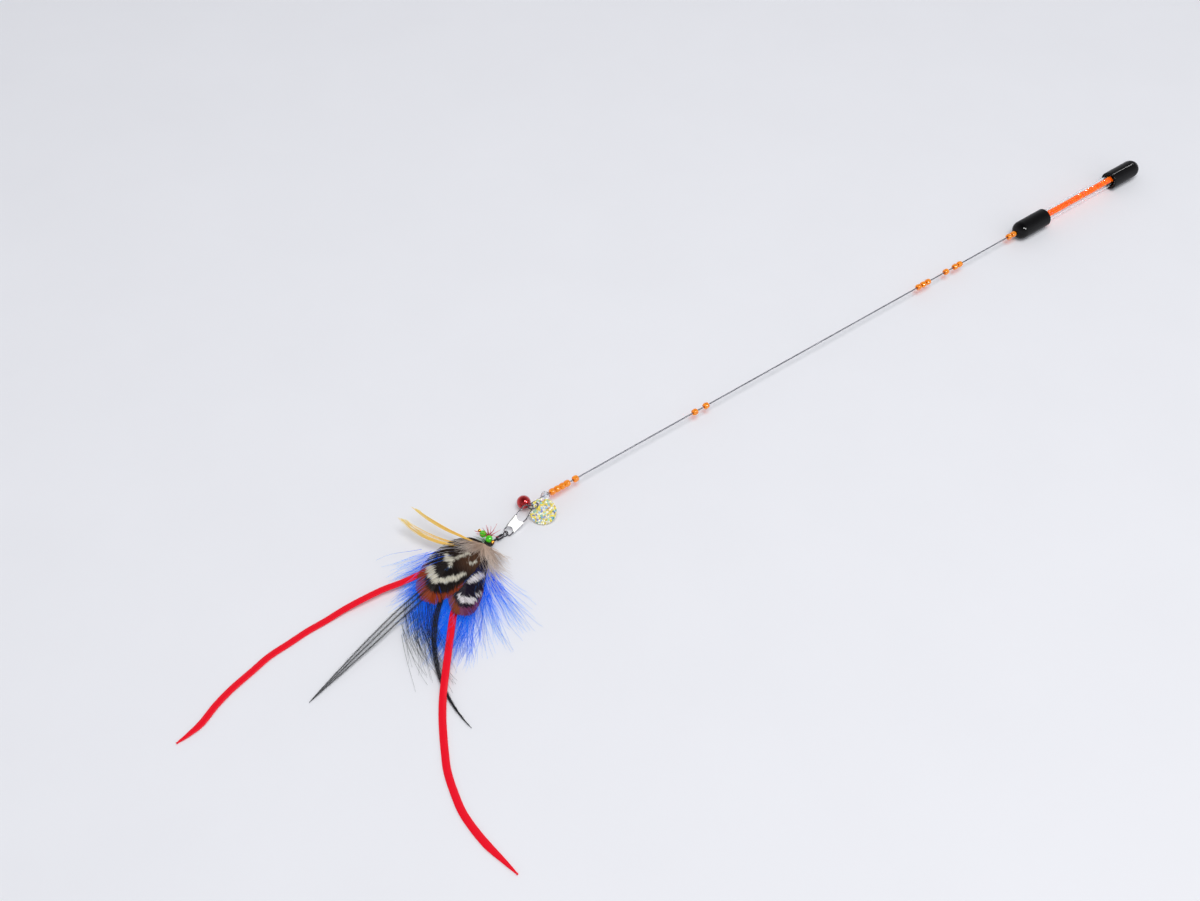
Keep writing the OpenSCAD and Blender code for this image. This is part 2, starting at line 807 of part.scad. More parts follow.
// The vane starts at a share of the feather's length from the tie, at a share of the layers' height.
// Slot is the quill's place round the head's end: 0 on the far side, 90 on top.
module feather(len, wid, heading, start_share, fall, high_share, bow, bulge, blunt, slot) {
    start = len * start_share;
    low = floor_z + cap_od * high_share;
    root = tie - quill_hold * swivel_dir + quill_ring_r * [0, cos(slot), sin(slot)];
    front = [tie.x + start * cos(heading), tie.y + start * sin(heading), low + vane_t / 2];
    vane = concat(vane_edge(len - start, wid, bow, bulge, blunt, -1),
                  turned_back(vane_edge(len - start, wid, bow, bulge, blunt, 1)));
    translate([front.x, front.y, low])
        rotate([0, 0, heading])
            rotate([0, fall, 0])
                linear_extrude(vane_t)
                    polygon(vane);
    rod(root, front + quill_d * [cos(heading), sin(heading), -sin(fall)], quill_d);
}

module large_feather() {
    color([0.5, 0.16, 0.04])
        feather(large_len, large_wid, 203, 0.25, 0, large_high_share, 0.02, 1.5, 0.6, 108);
}

module small_feather() {
    color([0.3, 0.1, 0.12])
        feather(small_len, small_wid, 225, 0.3, 0, small_high_share, 0.02, 1.5, 0.6, 144);
}

module upper_crest() {
    color([0.88, 0.66, 0.2])
        feather(crest_a_len, crest_a_wid, 120, 0.2, -6, upper_crest_high_share, 0.03, 0.8, 0.7, 0);
}

module lower_crest() {
    color([0.88, 0.66, 0.2])
        feather(crest_b_len, crest_b_wid, 129, 0.2, -3, lower_crest_high_share, -0.08, 0.8, 0.7, 36);
}

module long_hackle() {
    color([0.12, 0.12, 0.13])
        feather(hackle_a_len, hackle_a_wid, 193, 0.06, 0.6, hackle_high_share, -0.01, 0.7, 0.6, 72);
}

module curved_hackle() {
    color([0.12, 0.12, 0.13])
        feather(hackle_b_len, hackle_b_wid, 234, 0.06, 0.6, hackle_high_share, -0.16, 0.7, 0.6, 180);
}

// Fans of down: an outline of lobes round the tie
fan_lobes = 9;
fan_points = 72;
function fan_radius(s, reach, low_share) =
    reach * (low_share + (1 - low_share) * sin(180 * s)) * (0.93 + 0.07 * cos(360 * fan_lobes * s));
module lobed_fan(reach, from, to, inner_share, low_share, thick) {
    linear_extrude(thick)
        polygon(concat(
            [for (i = [0 : fan_points])
                let (s = i / fan_points, a = from + (to - from) * s)
                fan_radius(s, reach, low_share) * [cos(a), sin(a)]],
            [for (i = [fan_points / 4 : -1 : 0])
                let (a = from + (to - from) * 4 * i / fan_points)
                reach * inner_share * [cos(a), sin(a)]]));
}

module marabou_fan() {
    inner_share = 0.15;
    heading = 228;
    root = tie - quill_hold * swivel_dir - head_d * [0, 0.27, 0.34];
    edge = fan_reach * inner_share + quill_d;
    color([0.05, 0.28, 0.85]) {
        translate([tie.x, tie.y, floor_z])
            lobed_fan(fan_reach, 150, 280, inner_share, 0.72, fan_t);
        rod(root, [tie.x + edge * cos(heading), tie.y + edge * sin(heading), floor_z + quill_d], quill_d);
    }
}

module down_tuft() {
    inner_share = 0.3;
    heading = 214;
    low = floor_z + cap_od * down_high_share;
    edge = down_reach * inner_share + quill_d;
    color([0.58, 0.48, 0.42]) {
        translate([tie.x, tie.y, low])
            lobed_fan(down_reach, 140, 290, inner_share, 0.75, down_t);
        rod(tie - quill_hold * swivel_dir,
            [tie.x + edge * cos(heading), tie.y + edge * sin(heading), low + down_t / 2], quill_d);
    }
}

// Ribbons: flat strips with eight-sided sections and pointed tips
ribbon_sides = 8;
function ribbon_share(i, n) = let (k = len(tip_shares) - (n - i)) k < 0 ? 1 : tip_shares[k];
function ribbon_ring(route, i) =
    let (n = len(route),
         a = route[max(i - 1, 0)],
         b = route[min(i + 1, n - 1)],
         way = [b.x - a.x, b.y - a.y] / norm([b.x - a.x, b.y - a.y]),
         across = [-way.y, way.x, 0],
         half = ribbon_w / 2 * ribbon_share(i, n))
    [for (k = [0 : ribbon_sides - 1])
        let (t = 360 * (k + 0.5) / ribbon_sides)
        route[i] - half * cos(t) / cos(180 / ribbon_sides) * across
            + [0, 0, ribbon_t / 2 * sin(t) / cos(180 / ribbon_sides)]];

module ribbon(route) {
    color([0.9, 0, 0.12])
        swept([for (i = [0 : len(route) - 1]) ribbon_ring(route, i)]);
}

module side_ribbon() {
    ribbon(side_route);
}

module front_ribbon() {
    ribbon(front_route);
}

grip_tube();
bead_liner();
bead_fill();
front_cap();
rear_cap();
wire_plug();
main_wire();
wire_end_loop();
nose_beads();
rear_pair_beads();
rear_single_bead();
rear_three_beads();
middle_rear_bead();
middle_front_bead();
front_single_bead();
front_four_beads();
crystal_bead();
bell_shell();
bell_ball();
sequin();
snap_wire_loop();
snap_plate();
swivel_upper_eye();
swivel_barrel();
swivel_lower_eye();
head_core();
head_thread();
cross_thread();
green_beads();
gold_beads();
red_thread();
large_feather();
small_feather();
upper_crest();
lower_crest();
long_hackle();
curved_hackle();
marabou_fan();
down_tuft();
side_ribbon();
front_ribbon();
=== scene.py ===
"""Looks of a cat teaser wand: a clear handle full of tiny beads between two dome caps, a spring wire
with loose beads, and a feather lure on a snap swivel. Lengths are in metres, in the model's own frame."""

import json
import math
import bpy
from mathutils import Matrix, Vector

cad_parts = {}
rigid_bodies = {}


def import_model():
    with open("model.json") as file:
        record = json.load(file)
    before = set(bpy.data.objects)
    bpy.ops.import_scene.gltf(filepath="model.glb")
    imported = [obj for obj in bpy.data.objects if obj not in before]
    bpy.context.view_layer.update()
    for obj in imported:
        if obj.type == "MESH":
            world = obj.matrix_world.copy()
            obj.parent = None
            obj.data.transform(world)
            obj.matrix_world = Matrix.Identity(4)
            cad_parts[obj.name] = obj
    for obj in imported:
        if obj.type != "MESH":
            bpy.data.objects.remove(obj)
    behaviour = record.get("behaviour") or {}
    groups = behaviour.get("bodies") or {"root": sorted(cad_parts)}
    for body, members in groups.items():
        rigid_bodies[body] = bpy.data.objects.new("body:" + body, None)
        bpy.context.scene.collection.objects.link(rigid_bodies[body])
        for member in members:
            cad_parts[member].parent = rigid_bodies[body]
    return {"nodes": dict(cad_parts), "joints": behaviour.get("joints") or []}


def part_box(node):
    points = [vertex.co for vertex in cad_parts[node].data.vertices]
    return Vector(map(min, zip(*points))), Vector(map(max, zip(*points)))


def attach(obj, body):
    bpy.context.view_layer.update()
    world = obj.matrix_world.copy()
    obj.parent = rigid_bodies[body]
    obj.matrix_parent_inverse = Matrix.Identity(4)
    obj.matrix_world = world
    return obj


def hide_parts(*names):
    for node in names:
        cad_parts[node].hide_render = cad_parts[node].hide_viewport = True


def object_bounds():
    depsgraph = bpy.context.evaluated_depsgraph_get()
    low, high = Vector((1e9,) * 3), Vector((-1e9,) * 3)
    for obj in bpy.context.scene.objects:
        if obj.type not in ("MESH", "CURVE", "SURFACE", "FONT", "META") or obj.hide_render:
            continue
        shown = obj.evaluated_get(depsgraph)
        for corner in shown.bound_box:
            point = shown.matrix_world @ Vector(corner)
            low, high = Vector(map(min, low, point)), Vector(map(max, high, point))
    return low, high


bl_info = {
    "name": "Teaser Wand Looks",
    "version": (1, 0, 0),
    "blender": (4, 5, 0),
    "location": "View3D > Sidebar > Wand",
    "description": "Dresses a cat teaser wand with its finishes, beads, feathers and ribbons",
    "category": "Add Mesh",
}

import bmesh
import bpy
import numpy as np
from bpy.props import FloatProperty, FloatVectorProperty, IntProperty, PointerProperty
from mathutils import Matrix, Vector

for leftover in list(bpy.data.objects):
    bpy.data.objects.remove(leftover)

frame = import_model()
CAD_BOX = [list(corner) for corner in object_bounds()]

MM = 0.001
UP = np.array([0.0, 0.0, 1.0])
HANDLE = "handle_and_wire"
LURE = "lure"
FLOOR_Z = CAD_BOX[0][2]
# The least room between the surface and the middle of a hair
HAIR_GAP = 0.12 * MM


# Colours are written as they look on a screen and worked out in linear light
def linear(red, green, blue):
    shares = np.array([red, green, blue], float) / 255
    return np.where(shares <= 0.04045, shares / 12.92, ((shares + 0.055) / 1.055) ** 2.4)


def rgba(red, green, blue):
    return (*linear(red, green, blue), 1.0)


def shaded(colour, share=1.0, lift=0.0):
    """A colour made lighter or darker, with an alpha of 1."""
    return (*(lift + share * part for part in colour[:3]), 1.0)


WHITE = (1.0, 1.0, 1.0, 1.0)
CREAM = linear(226, 222, 206)
CHESTNUT = linear(160, 62, 16)
PITCH = linear(20, 8, 6)
UMBER = linear(92, 62, 42)


# Places and paths
def unit(vector):
    return vector / np.linalg.norm(vector)


def about(angle, side, over):
    """The direction at an angle in the plane of two others."""
    return math.cos(angle) * side + math.sin(angle) * over


def heading_way(angle, rise=0.0):
    return np.array([math.cos(angle), math.sin(angle), rise])


def node_box(cad_node):
    """The low and the high corner of a CAD node, and its middle."""
    low, high = (np.array(corner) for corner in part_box(cad_node))
    return low, high, (low + high) / 2


def smooth_path(points, steps):
    """Points on a smooth curve through the given ones."""
    given = np.array(points, float)
    given = np.vstack([2 * given[0] - given[1], given, 2 * given[-1] - given[-2]])
    t = np.linspace(0, 1, steps, endpoint=False)[:, None]
    runs = []
    for a, b, c, d in zip(given, given[1:], given[2:], given[3:]):
        cubic = 3 * b - a - 3 * c + d
        runs.append(0.5 * (2 * b + (c - a) * t + (2 * a - 5 * b + 4 * c - d) * t**2 + cubic * t**3))
    return np.vstack([*runs, given[-2][None]])


def path_length(points):
    return float(np.linalg.norm(np.diff(points, axis=0), axis=1).sum())


def even_path(points, count):
    """The same path with evenly spaced points."""
    runs = np.concatenate([[0], np.cumsum(np.linalg.norm(np.diff(points, axis=0), axis=1))])
    wanted = np.linspace(0, runs[-1], count)
    return np.stack([np.interp(wanted, runs, points[:, k]) for k in range(3)], axis=1)


def arc_path(start, length, heading_from, heading_to, heights, count=60):
    """A line over the surface whose heading turns evenly; its heights are in millimetres."""
    shares = np.linspace(0, 1, count)
    turn = np.radians(heading_from + (heading_to - heading_from) * shares)
    step = length / (count - 1)
    flat = np.stack([np.cos(turn), np.sin(turn)], axis=1) * step
    path = np.zeros((count, 3))
    path[:, :2] = np.array(start[:2]) + np.concatenate([[[0, 0]], np.cumsum(flat[:-1], axis=0)])
    path[:, 2] = np.interp(shares, np.linspace(0, 1, len(heights)), np.array(heights) * MM)
    return path


def on_path(path, share):
    """The point and the direction at a share of an even path's length."""
    place = np.clip(share, 0, 1) * (len(path) - 1)
    low = min(int(place), len(path) - 2)
    way = path[low + 1] - path[low]
    return path[low] + way * (place - low), way / np.linalg.norm(way)


def lefts_of(path):
    """The direction to the left at each point of a path."""
    lefts = np.cross(UP, np.gradient(path, axis=0))
    return lefts / np.linalg.norm(lefts, axis=1)[:, None]


def above_floor(points, gap=HAIR_GAP):
    points[:, 2] = np.maximum(points[:, 2], FLOOR_Z + gap)
    return points


# The lure's line runs along the swivel; its tie is the rear end of the bound head
LURE_LINE = next(np.array(one["axis"], float) for one in frame["joints"] if one["name"] == "lure_spin")
SIDE = unit(np.cross(UP, LURE_LINE))
OVER = np.cross(LURE_LINE, SIDE)
HEAD_MID = node_box("head_core")[2]
HEAD_LEN = 6.4 * MM
HEAD_R = 2.2 * MM
HEAD_FRONT = HEAD_MID - LURE_LINE * HEAD_LEN / 2
TIE = HEAD_MID + LURE_LINE * HEAD_LEN / 2
KNOT_SHIFT = np.array([0.0, 2.4, 3.2]) * MM


def quill_root(angle):
    """A place on the head's rear end where a quill goes in."""
    return TIE - 1.2 * MM * LURE_LINE + 0.9 * MM * about(angle, SIDE, OVER)


# Nodes
def node(tree, kind, sockets=None, **settings):
    """Adds a node; a socket's value is a number, a colour or another node's output."""
    made = tree.nodes.new(kind)
    for name, value in settings.items():
        setattr(made, name, value)
    for key, value in (sockets or {}).items():
        if isinstance(value, bpy.types.NodeSocket):
            tree.links.new(value, made.inputs[key])
        else:
            made.inputs[key].default_value = value
    return made


def output(tree, kind, which, sockets=None, **settings):
    """Adds a node and gives one of its outputs."""
    return node(tree, kind, sockets, **settings).outputs[which]


def ramp(tree, factor, stops, interpolation="LINEAR"):
    made = node(tree, "ShaderNodeValToRGB", {"Fac": factor})
    made.color_ramp.interpolation = interpolation
    elements = made.color_ramp.elements
    while len(elements) < len(stops):
        elements.new(1.0)
    for element, (place, colour) in zip(elements, stops):
        element.position = place
        element.color = colour
    return made.outputs["Color"]


def mixed(tree, factor, first, second, blend_type="MIX"):
    sockets = {0: factor, 6: first, 7: second}
    return output(tree, "ShaderNodeMix", 2, sockets, data_type="RGBA", blend_type=blend_type)


def stretched(tree, source, low, high):
    return output(tree, "ShaderNodeMapRange", "Result", {"Value": source, "To Min": low, "To Max": high})


def bump(tree, height, strength, distance):
    sockets = {"Height": height, "Strength": strength, "Distance": distance}
    return output(tree, "ShaderNodeBump", "Normal", sockets)


def noise(tree, place, scale, detail, **more):
    sockets = {"Vector": place, "Scale": scale, "Detail": detail, **more}
    return output(tree, "ShaderNodeTexNoise", "Fac", sockets)


def carried(tree, name, which="Fac"):
    """What the mesh's points carry under a name."""
    return output(tree, "ShaderNodeAttribute", which, attribute_name=name)


def object_place(tree, stretch=(1, 1, 1)):
    place = output(tree, "ShaderNodeTexCoord", "Object")
    return output(tree, "ShaderNodeMapping", "Vector", {"Vector": place, "Scale": stretch})


def group(name, kind, inputs, outputs, build):
    """A node group that is built once; build returns its outputs by name."""
    if name in bpy.data.node_groups:
        return bpy.data.node_groups[name]
    tree = bpy.data.node_groups.new(name, kind)
    for label, socket_kind, default in inputs:
        socket = tree.interface.new_socket(label, in_out="INPUT", socket_type="NodeSocket" + socket_kind)
        if default is not None:
            socket.default_value = default
    for label, socket_kind in outputs:
        tree.interface.new_socket(label, in_out="OUTPUT", socket_type="NodeSocket" + socket_kind)
    given = node(tree, "NodeGroupInput").outputs
    result = node(tree, "NodeGroupOutput").inputs
    for label, socket in build(tree, given).items():
        tree.links.new(socket, result[label])
    return tree


def surface_group(name, size, depth, pattern):
    """A shader group that makes a mask, a roughness and a normal of one pattern."""

    def build(tree, given):
        mask = pattern(tree, given["Size"])
        return {
            "Mask": mask,
            "Roughness": stretched(tree, mask, given["Least"], given["Greatest"]),
            "Normal": bump(tree, mask, given["Relief"], depth),
        }

    inputs = [("Size", *size), ("Least", "Float", 0.2), ("Greatest", "Float", 0.4), ("Relief", "Float", 0.1)]
    outputs = [("Mask", "Float"), ("Roughness", "Float"), ("Normal", "Vector")]
    return group(name, "ShaderNodeTree", inputs, outputs, build)


def worn_surface():
    """Fine unevenness of a handled surface."""

    def spots(tree, size):
        return noise(tree, object_place(tree), size, 5.0, Roughness=0.6)

    return surface_group("worn_surface", ("Float", 900.0), 0.05 * MM, spots)


def drawn_metal():
    """Lines that drawing or brushing leaves on metal."""

    def lines(tree, stretch):
        sockets = {0: output(tree, "ShaderNodeTexCoord", "Object"), 1: stretch}
        place = output(tree, "ShaderNodeVectorMath", "Vector", sockets, operation="MULTIPLY")
        return noise(tree, place, 1.0, 4.0)

    return surface_group("drawn_metal", ("Vector", (60.0, 2500.0, 2500.0)), 0.03 * MM, lines)


def fibre_tone():
    """Colour along a fibre from its root to its tip, lighter or darker from one fibre to the next."""

    def build(tree, given):
        tone = carried(tree, "tone")
        colour = mixed(tree, carried(tree, "along"), given["Root"], given["Tip"])
        darker = mixed(tree, 1.0, colour, given["Shade"], "MULTIPLY")
        return {"Colour": mixed(tree, tone, darker, colour), "Tone": tone}

    inputs = [(label, "Color", WHITE) for label in ("Root", "Tip", "Shade")]
    return group("fibre_tone", "ShaderNodeTree", inputs, [("Colour", "Color"), ("Tone", "Float")], build)


# Finishes
def new_material(name, **values):
    """A material with its Principled shader's plain values set by their socket names."""
    made = bpy.data.materials.new(name)
    made.use_nodes = True
    shader = made.node_tree.nodes["Principled BSDF"]
    for key, value in values.items():
        shader.inputs[key.replace("_", " ")].default_value = value
    return made, made.node_tree, shader


def placed(tree, surface, size, rough, relief):
    """Adds a surface group; rough holds the limits of its roughness."""
    sockets = {"Size": size, "Least": rough[0], "Greatest": rough[1], "Relief": relief}
    return node(tree, "ShaderNodeGroup", sockets, node_tree=surface()).outputs


def wire_up(tree, shader, surface=None, **sources):
    """Links sources to a shader's sockets, and a surface group's roughness and normal if given."""
    if surface is not None:
        sources.update(Roughness=surface["Roughness"], Normal=surface["Normal"])
    for key, source in sources.items():
        tree.links.new(source, shader.inputs[key.replace("_", " ")])


def surfaced(name, surface, size, rough, relief, stops, **values):
    """A material whose colour, roughness and normal all follow one surface group's mask."""
    made, tree, shader = new_material(name, **values)
    used = placed(tree, surface, size, rough, relief)
    wire_up(tree, shader, used, Base_Color=ramp(tree, used["Mask"], stops))
    return made


def lit_through(made, tint):
    """Lets lamps shine through a clear piece on to what lies behind it."""
    tree = made.node_tree
    passing = output(tree, "ShaderNodeBsdfTransparent", "BSDF", {"Color": tint})
    path = node(tree, "ShaderNodeLightPath").outputs
    rays = {0: path["Is Shadow Ray"], 1: path["Is Diffuse Ray"]}
    lamp_ray = output(tree, "ShaderNodeMath", "Value", rays, operation="MAXIMUM")
    sockets = {0: lamp_ray, 1: tree.nodes["Principled BSDF"].outputs["BSDF"], 2: passing}
    both = output(tree, "ShaderNodeMixShader", "Shader", sockets)
    tree.links.new(both, tree.nodes["Material Output"].inputs["Surface"])
    return made


def clear_plastic(name, colour, roughness, ior):
    stops = [(0.3, colour), (0.9, WHITE)]
    made = surfaced(
        name, worn_surface, size=260.0, rough=(roughness, roughness * 3), relief=0.03, stops=stops,
        Transmission_Weight=1.0, IOR=ior,
    )
    return lit_through(made, (0.97, 0.98, 0.99, 1))


def fill_bead_finish(light, deep):
    """Fluorescent plastic, which also passes light from bead to bead, with a painted glow in its own colour.
    """
    made, tree, shader = new_material(
        "fill_bead", Specular_IOR_Level=0.08, Subsurface_Weight=0.2, Subsurface_Radius=(1.0, 0.4, 0.02),
        Subsurface_Scale=0.6 * MM, Emission_Strength=0.3,
    )
    stops = [(0.0, deep), (0.2, light), (0.9, light), (1.0, rgba(255, 160, 20))]
    shade = ramp(tree, carried(tree, "tone"), stops)
    worn = placed(tree, worn_surface, size=2200.0, rough=(0.4, 0.6), relief=0.15)
    # The bead colour also feeds the emission: a painted glow
    wire_up(tree, shader, worn, Base_Color=shade, Emission_Color=shade)
    return made


def metal(name, dark, light, rough, stretch, relief=0.25, solid=1.0):
    """Drawn metal; solid under 1 is a bright satin plating that also scatters light."""
    stops = [(0.35, dark), (0.7, light)]
    return surfaced(name, drawn_metal, stretch, rough, relief, stops, Metallic=solid)


def glass_bead(name, deep, light, transmission, roughness, ior=1.5, glow=0.0):
    """Glassy bead: streaks of deeper colour run along it; glow is a painted glow for light caught inside."""
    made, tree, shader = new_material(
        name, Transmission_Weight=transmission, IOR=ior, Coat_Weight=0.4, Coat_Roughness=0.04,
        Emission_Strength=glow,
    )
    streaks = noise(tree, object_place(tree, (500, 1600, 1600)), 1.0, 3.0)
    shade = ramp(tree, streaks, [(0.3, deep), (0.65, light)])
    worn = placed(tree, worn_surface, size=1500.0, rough=(roughness, roughness * 2), relief=0.06)
    wire_up(tree, shader, worn, Base_Color=shade)
    # A painted glow: the bead's colour also feeds the emission
    if glow:
        wire_up(tree, shader, Emission_Color=shade)
    return lit_through(made, light)


def sequin_foil(cell):
    """Mosaic foil: cells in pearly colours, each tilted its own way."""
    made, tree, shader = new_material(
        "sequin_foil", Metallic=0.25, Coat_Weight=0.8, Coat_Roughness=0.05, Thin_Film_Thickness=420.0
    )
    sockets = {"Vector": object_place(tree), "Scale": 1 / cell, "Randomness": 0.85}
    cells = output(tree, "ShaderNodeTexVoronoi", "Color", sockets)
    edges = output(tree, "ShaderNodeTexVoronoi", "Distance", sockets, feature="DISTANCE_TO_EDGE")
    picked = node(tree, "ShaderNodeSeparateColor", {"Color": cells}).outputs
    stops = [
        (0.0, rgba(250, 226, 96)),
        (0.22, rgba(248, 246, 226)),
        (0.4, rgba(160, 196, 240)),
        (0.47, rgba(252, 238, 140)),
        (0.63, rgba(170, 226, 206)),
        (0.69, rgba(250, 246, 226)),
        (0.85, rgba(130, 130, 214)),
        (0.92, rgba(246, 186, 90)),
        (0.945, rgba(230, 180, 225)),
        (0.97, rgba(70, 160, 150)),
    ]
    shade = ramp(tree, picked["Red"], stops, "CONSTANT")
    seam = ramp(tree, edges, [(0.0, rgba(205, 205, 190)), (0.09, WHITE)])
    wire_up(
        tree, shader, Base_Color=mixed(tree, 1.0, shade, seam, "MULTIPLY"),
        Roughness=stretched(tree, picked["Green"], 0.12, 0.4), Normal=bump(tree, edges, 0.5, 0.25 * MM),
    )
    return made


def fibre_finish(name, root, tip, shade, roughness=0.6, sheen=0.3, glow=0.0):
    """Fibres; glow is a painted glow for the light that soft down passes on from hair to hair."""
    made, tree, shader = new_material(
        name, Sheen_Weight=sheen, Sheen_Roughness=0.4, Specular_IOR_Level=0.3, Emission_Strength=glow
    )
    sockets = {"Root": root, "Tip": tip, "Shade": (*shade, 1.0)}
    fibre = node(tree, "ShaderNodeGroup", sockets, node_tree=fibre_tone()).outputs
    rough = stretched(tree, fibre["Tone"], roughness * 0.8, roughness * 1.2)
    wire_up(tree, shader, Base_Color=fibre["Colour"], Roughness=rough)
    # A painted glow: the fibre colour also feeds the emission
    if glow:
        wire_up(tree, shader, Emission_Color=fibre["Colour"])
    return made


def marked_feather():
    """Barbs whose markings lie in the mesh's own colours."""
    made, tree, shader = new_material(
        "marked_feather", Sheen_Weight=0.04, Sheen_Roughness=0.35, Specular_IOR_Level=0.2
    )
    tone = carried(tree, "tone")
    shade = ramp(tree, tone, [(0.0, (0.62, 0.6, 0.58, 1)), (1.0, WHITE)])
    colour = mixed(tree, 1.0, carried(tree, "marking", "Color"), shade, "MULTIPLY")
    wire_up(tree, shader, Base_Color=colour, Roughness=stretched(tree, tone, 0.38, 0.6))
    return made


def ribbon_satin(colour):
    """Smooth strip with fine lines along it, which its own map carries."""
    made, tree, shader = new_material(
        "ribbon_satin", Coat_Weight=0.08, Coat_Roughness=0.25, Specular_IOR_Level=0.25
    )
    strip = output(tree, "ShaderNodeUVMap", "UV", uv_map="strip")
    place = output(tree, "ShaderNodeMapping", "Vector", {"Vector": strip, "Scale": (60, 26, 1)})
    lines = noise(tree, place, 1.0, 4.0)
    wire_up(
        tree, shader, Base_Color=ramp(tree, lines, [(0.3, shaded(colour, 0.72)), (0.6, shaded(colour))]),
        Roughness=stretched(tree, lines, 0.34, 0.5), Normal=bump(tree, lines, 0.25, 0.05 * MM),
    )
    return made


FINISHES = {}


def make_finishes(looks):
    cap, bell, table = looks.cap_colour, looks.bell_colour, looks.table_colour
    lacquer = [
        (0.3, shaded(bell, 0.5)), (0.5, shaded(bell)), (0.76, shaded(bell)), (0.82, rgba(205, 150, 60))
    ]
    even = (900, 900, 900)
    FINISHES.update(
        cap=surfaced(
            "dipped_rubber", worn_surface, size=420.0, rough=(0.14, 0.24), relief=0.03,
            stops=[(0.45, shaded(cap)), (0.8, shaded(cap, 1.3, 0.002))],
            Coat_Weight=0.42, Coat_Roughness=0.03, Specular_IOR_Level=0.0,
        ),
        tube=clear_plastic("clear_tube", (0.98, 0.98, 1.0, 1), roughness=0.015, ior=1.27),
        liner=clear_plastic("clear_liner", (1.0, 0.99, 0.98, 1), roughness=0.03, ior=1.06),
        # The fill beads carry a painted glow in their own colour
        fill=fill_bead_finish(shaded(looks.fill_colour), rgba(236, 84, 0)),
        plug=surfaced(
            "plug_plastic", worn_surface, size=700.0, rough=(0.4, 0.6), relief=0.1,
            stops=[(0.3, rgba(205, 205, 200)), (0.8, rgba(232, 232, 228))],
        ),
        wire=metal(
            "spring_wire", rgba(84, 84, 90), rgba(122, 122, 128), rough=(0.4, 0.55), stretch=(40, 3000, 3000)
        ),
        # The amber beads carry a faint painted glow
        bead=glass_bead(
            "amber_bead", rgba(236, 120, 0), rgba(255, 176, 14), transmission=0.35, roughness=0.08, glow=0.07
        ),
        crystal=glass_bead(
            "cut_crystal", rgba(235, 240, 250), WHITE, transmission=1.0, roughness=0.01, ior=1.6
        ),
        bell=surfaced(
            "bell_lacquer", worn_surface, size=800.0, rough=(0.12, 0.3), relief=0.12, stops=lacquer,
            Metallic=0.92, Coat_Weight=0.9, Coat_Roughness=0.04,
        ),
        pea=metal("pea_steel", rgba(150, 150, 152), rgba(210, 210, 212), rough=(0.1, 0.2), stretch=even),
        sequin=sequin_foil(looks.sequin_cell),
        snap=metal(
            "snap_steel", rgba(84, 82, 86), rgba(142, 140, 144), rough=(0.16, 0.3), stretch=(300, 3000, 3000)
        ),
        plate=metal(
            "plate_steel", rgba(206, 206, 202), rgba(222, 222, 220), rough=(0.45, 0.6),
            stretch=(900, 300, 300), relief=0.06, solid=0.8,
        ),
        swivel=metal(
            "black_nickel", rgba(30, 29, 32), rgba(72, 70, 74), rough=(0.2, 0.36), stretch=(1200, 1200, 1200)
        ),
        core=fibre_finish("head_cord", rgba(96, 70, 52), rgba(60, 40, 30), (0.5, 0.5, 0.5)),
        thread=fibre_finish("dark_thread", rgba(40, 28, 24), rgba(52, 38, 32), (0.6, 0.6, 0.6)),
        # The green beads carry a faint painted glow
        green=glass_bead(
            "green_bead", rgba(20, 150, 0), rgba(90, 240, 20), transmission=0.15, roughness=0.1, glow=0.08
        ),
        gold=metal("gold_bead", rgba(205, 140, 40), rgba(250, 200, 90), rough=(0.12, 0.25), stretch=even),
        red=fibre_finish("red_thread", rgba(200, 10, 50), rgba(232, 80, 110), (0.8, 0.6, 0.6)),
        pheasant=marked_feather(),
        crest=fibre_finish(
            "golden_crest", rgba(255, 204, 76), rgba(255, 234, 156), (0.9, 0.76, 0.48), roughness=0.42,
            sheen=0.05,
        ),
        hackle=fibre_finish(
            "black_hackle", rgba(14, 14, 17), rgba(40, 41, 46), (0.5, 0.5, 0.5), roughness=0.45, sheen=0.05
        ),
        # The marabou carries a strong painted glow in its own colours
        marabou=fibre_finish(
            "blue_marabou", shaded(looks.marabou_root), shaded(looks.marabou_tip), (0.1, 0.36, 0.6),
            sheen=0.0, glow=0.3,
        ),
        # The down carries a faint painted glow
        down=fibre_finish(
            "grey_down", rgba(214, 186, 164), rgba(252, 244, 236), (0.56, 0.5, 0.46), sheen=0.15, glow=0.07
        ),
        ribbon=ribbon_satin(looks.ribbon_colour),
        table=surfaced(
            "table_surface", worn_surface, size=12.0, rough=(0.6, 0.75), relief=0.0,
            stops=[(0.3, shaded(table)), (0.7, shaded(table, 1.015))],
        ),
    )


def dress(finish, *cad_nodes):
    """Gives CAD nodes a finish in their every material slot."""
    for cad_node in cad_nodes:
        for slot in frame["nodes"][cad_node].material_slots:
            slot.link = "OBJECT"
            slot.material = FINISHES[finish]


# Meshes
def add_object(name, mesh, finish=None):
    made = bpy.data.objects.new(name, mesh)
    bpy.context.scene.collection.objects.link(made)
    if finish is not None:
        mesh.materials.append(FINISHES[finish])
    return made


def mesh_object(name, points, faces, finish, smooth=True):
    mesh = bpy.data.meshes.new(name)
    mesh.from_pydata([tuple(point) for point in points], [], faces)
    mesh.validate()
    if smooth:
        mesh.shade_smooth()
    else:
        mesh.shade_flat()
    return add_object(name, mesh, finish)


def point_mesh(name, points, edges=(), **numbers):
    """A mesh of points and edges; each point carries the named numbers."""
    mesh = bpy.data.meshes.new(name)
    mesh.from_pydata(points, edges, [])
    for label, values in numbers.items():
        mesh.attributes.new(label, "FLOAT", "POINT").data.foreach_set("value", values)
    return mesh


def stand_in(piece, body, slot, *cad_nodes):
    """Seats a piece on its body in place of CAD nodes."""
    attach(piece, body)
    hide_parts(*cad_nodes)


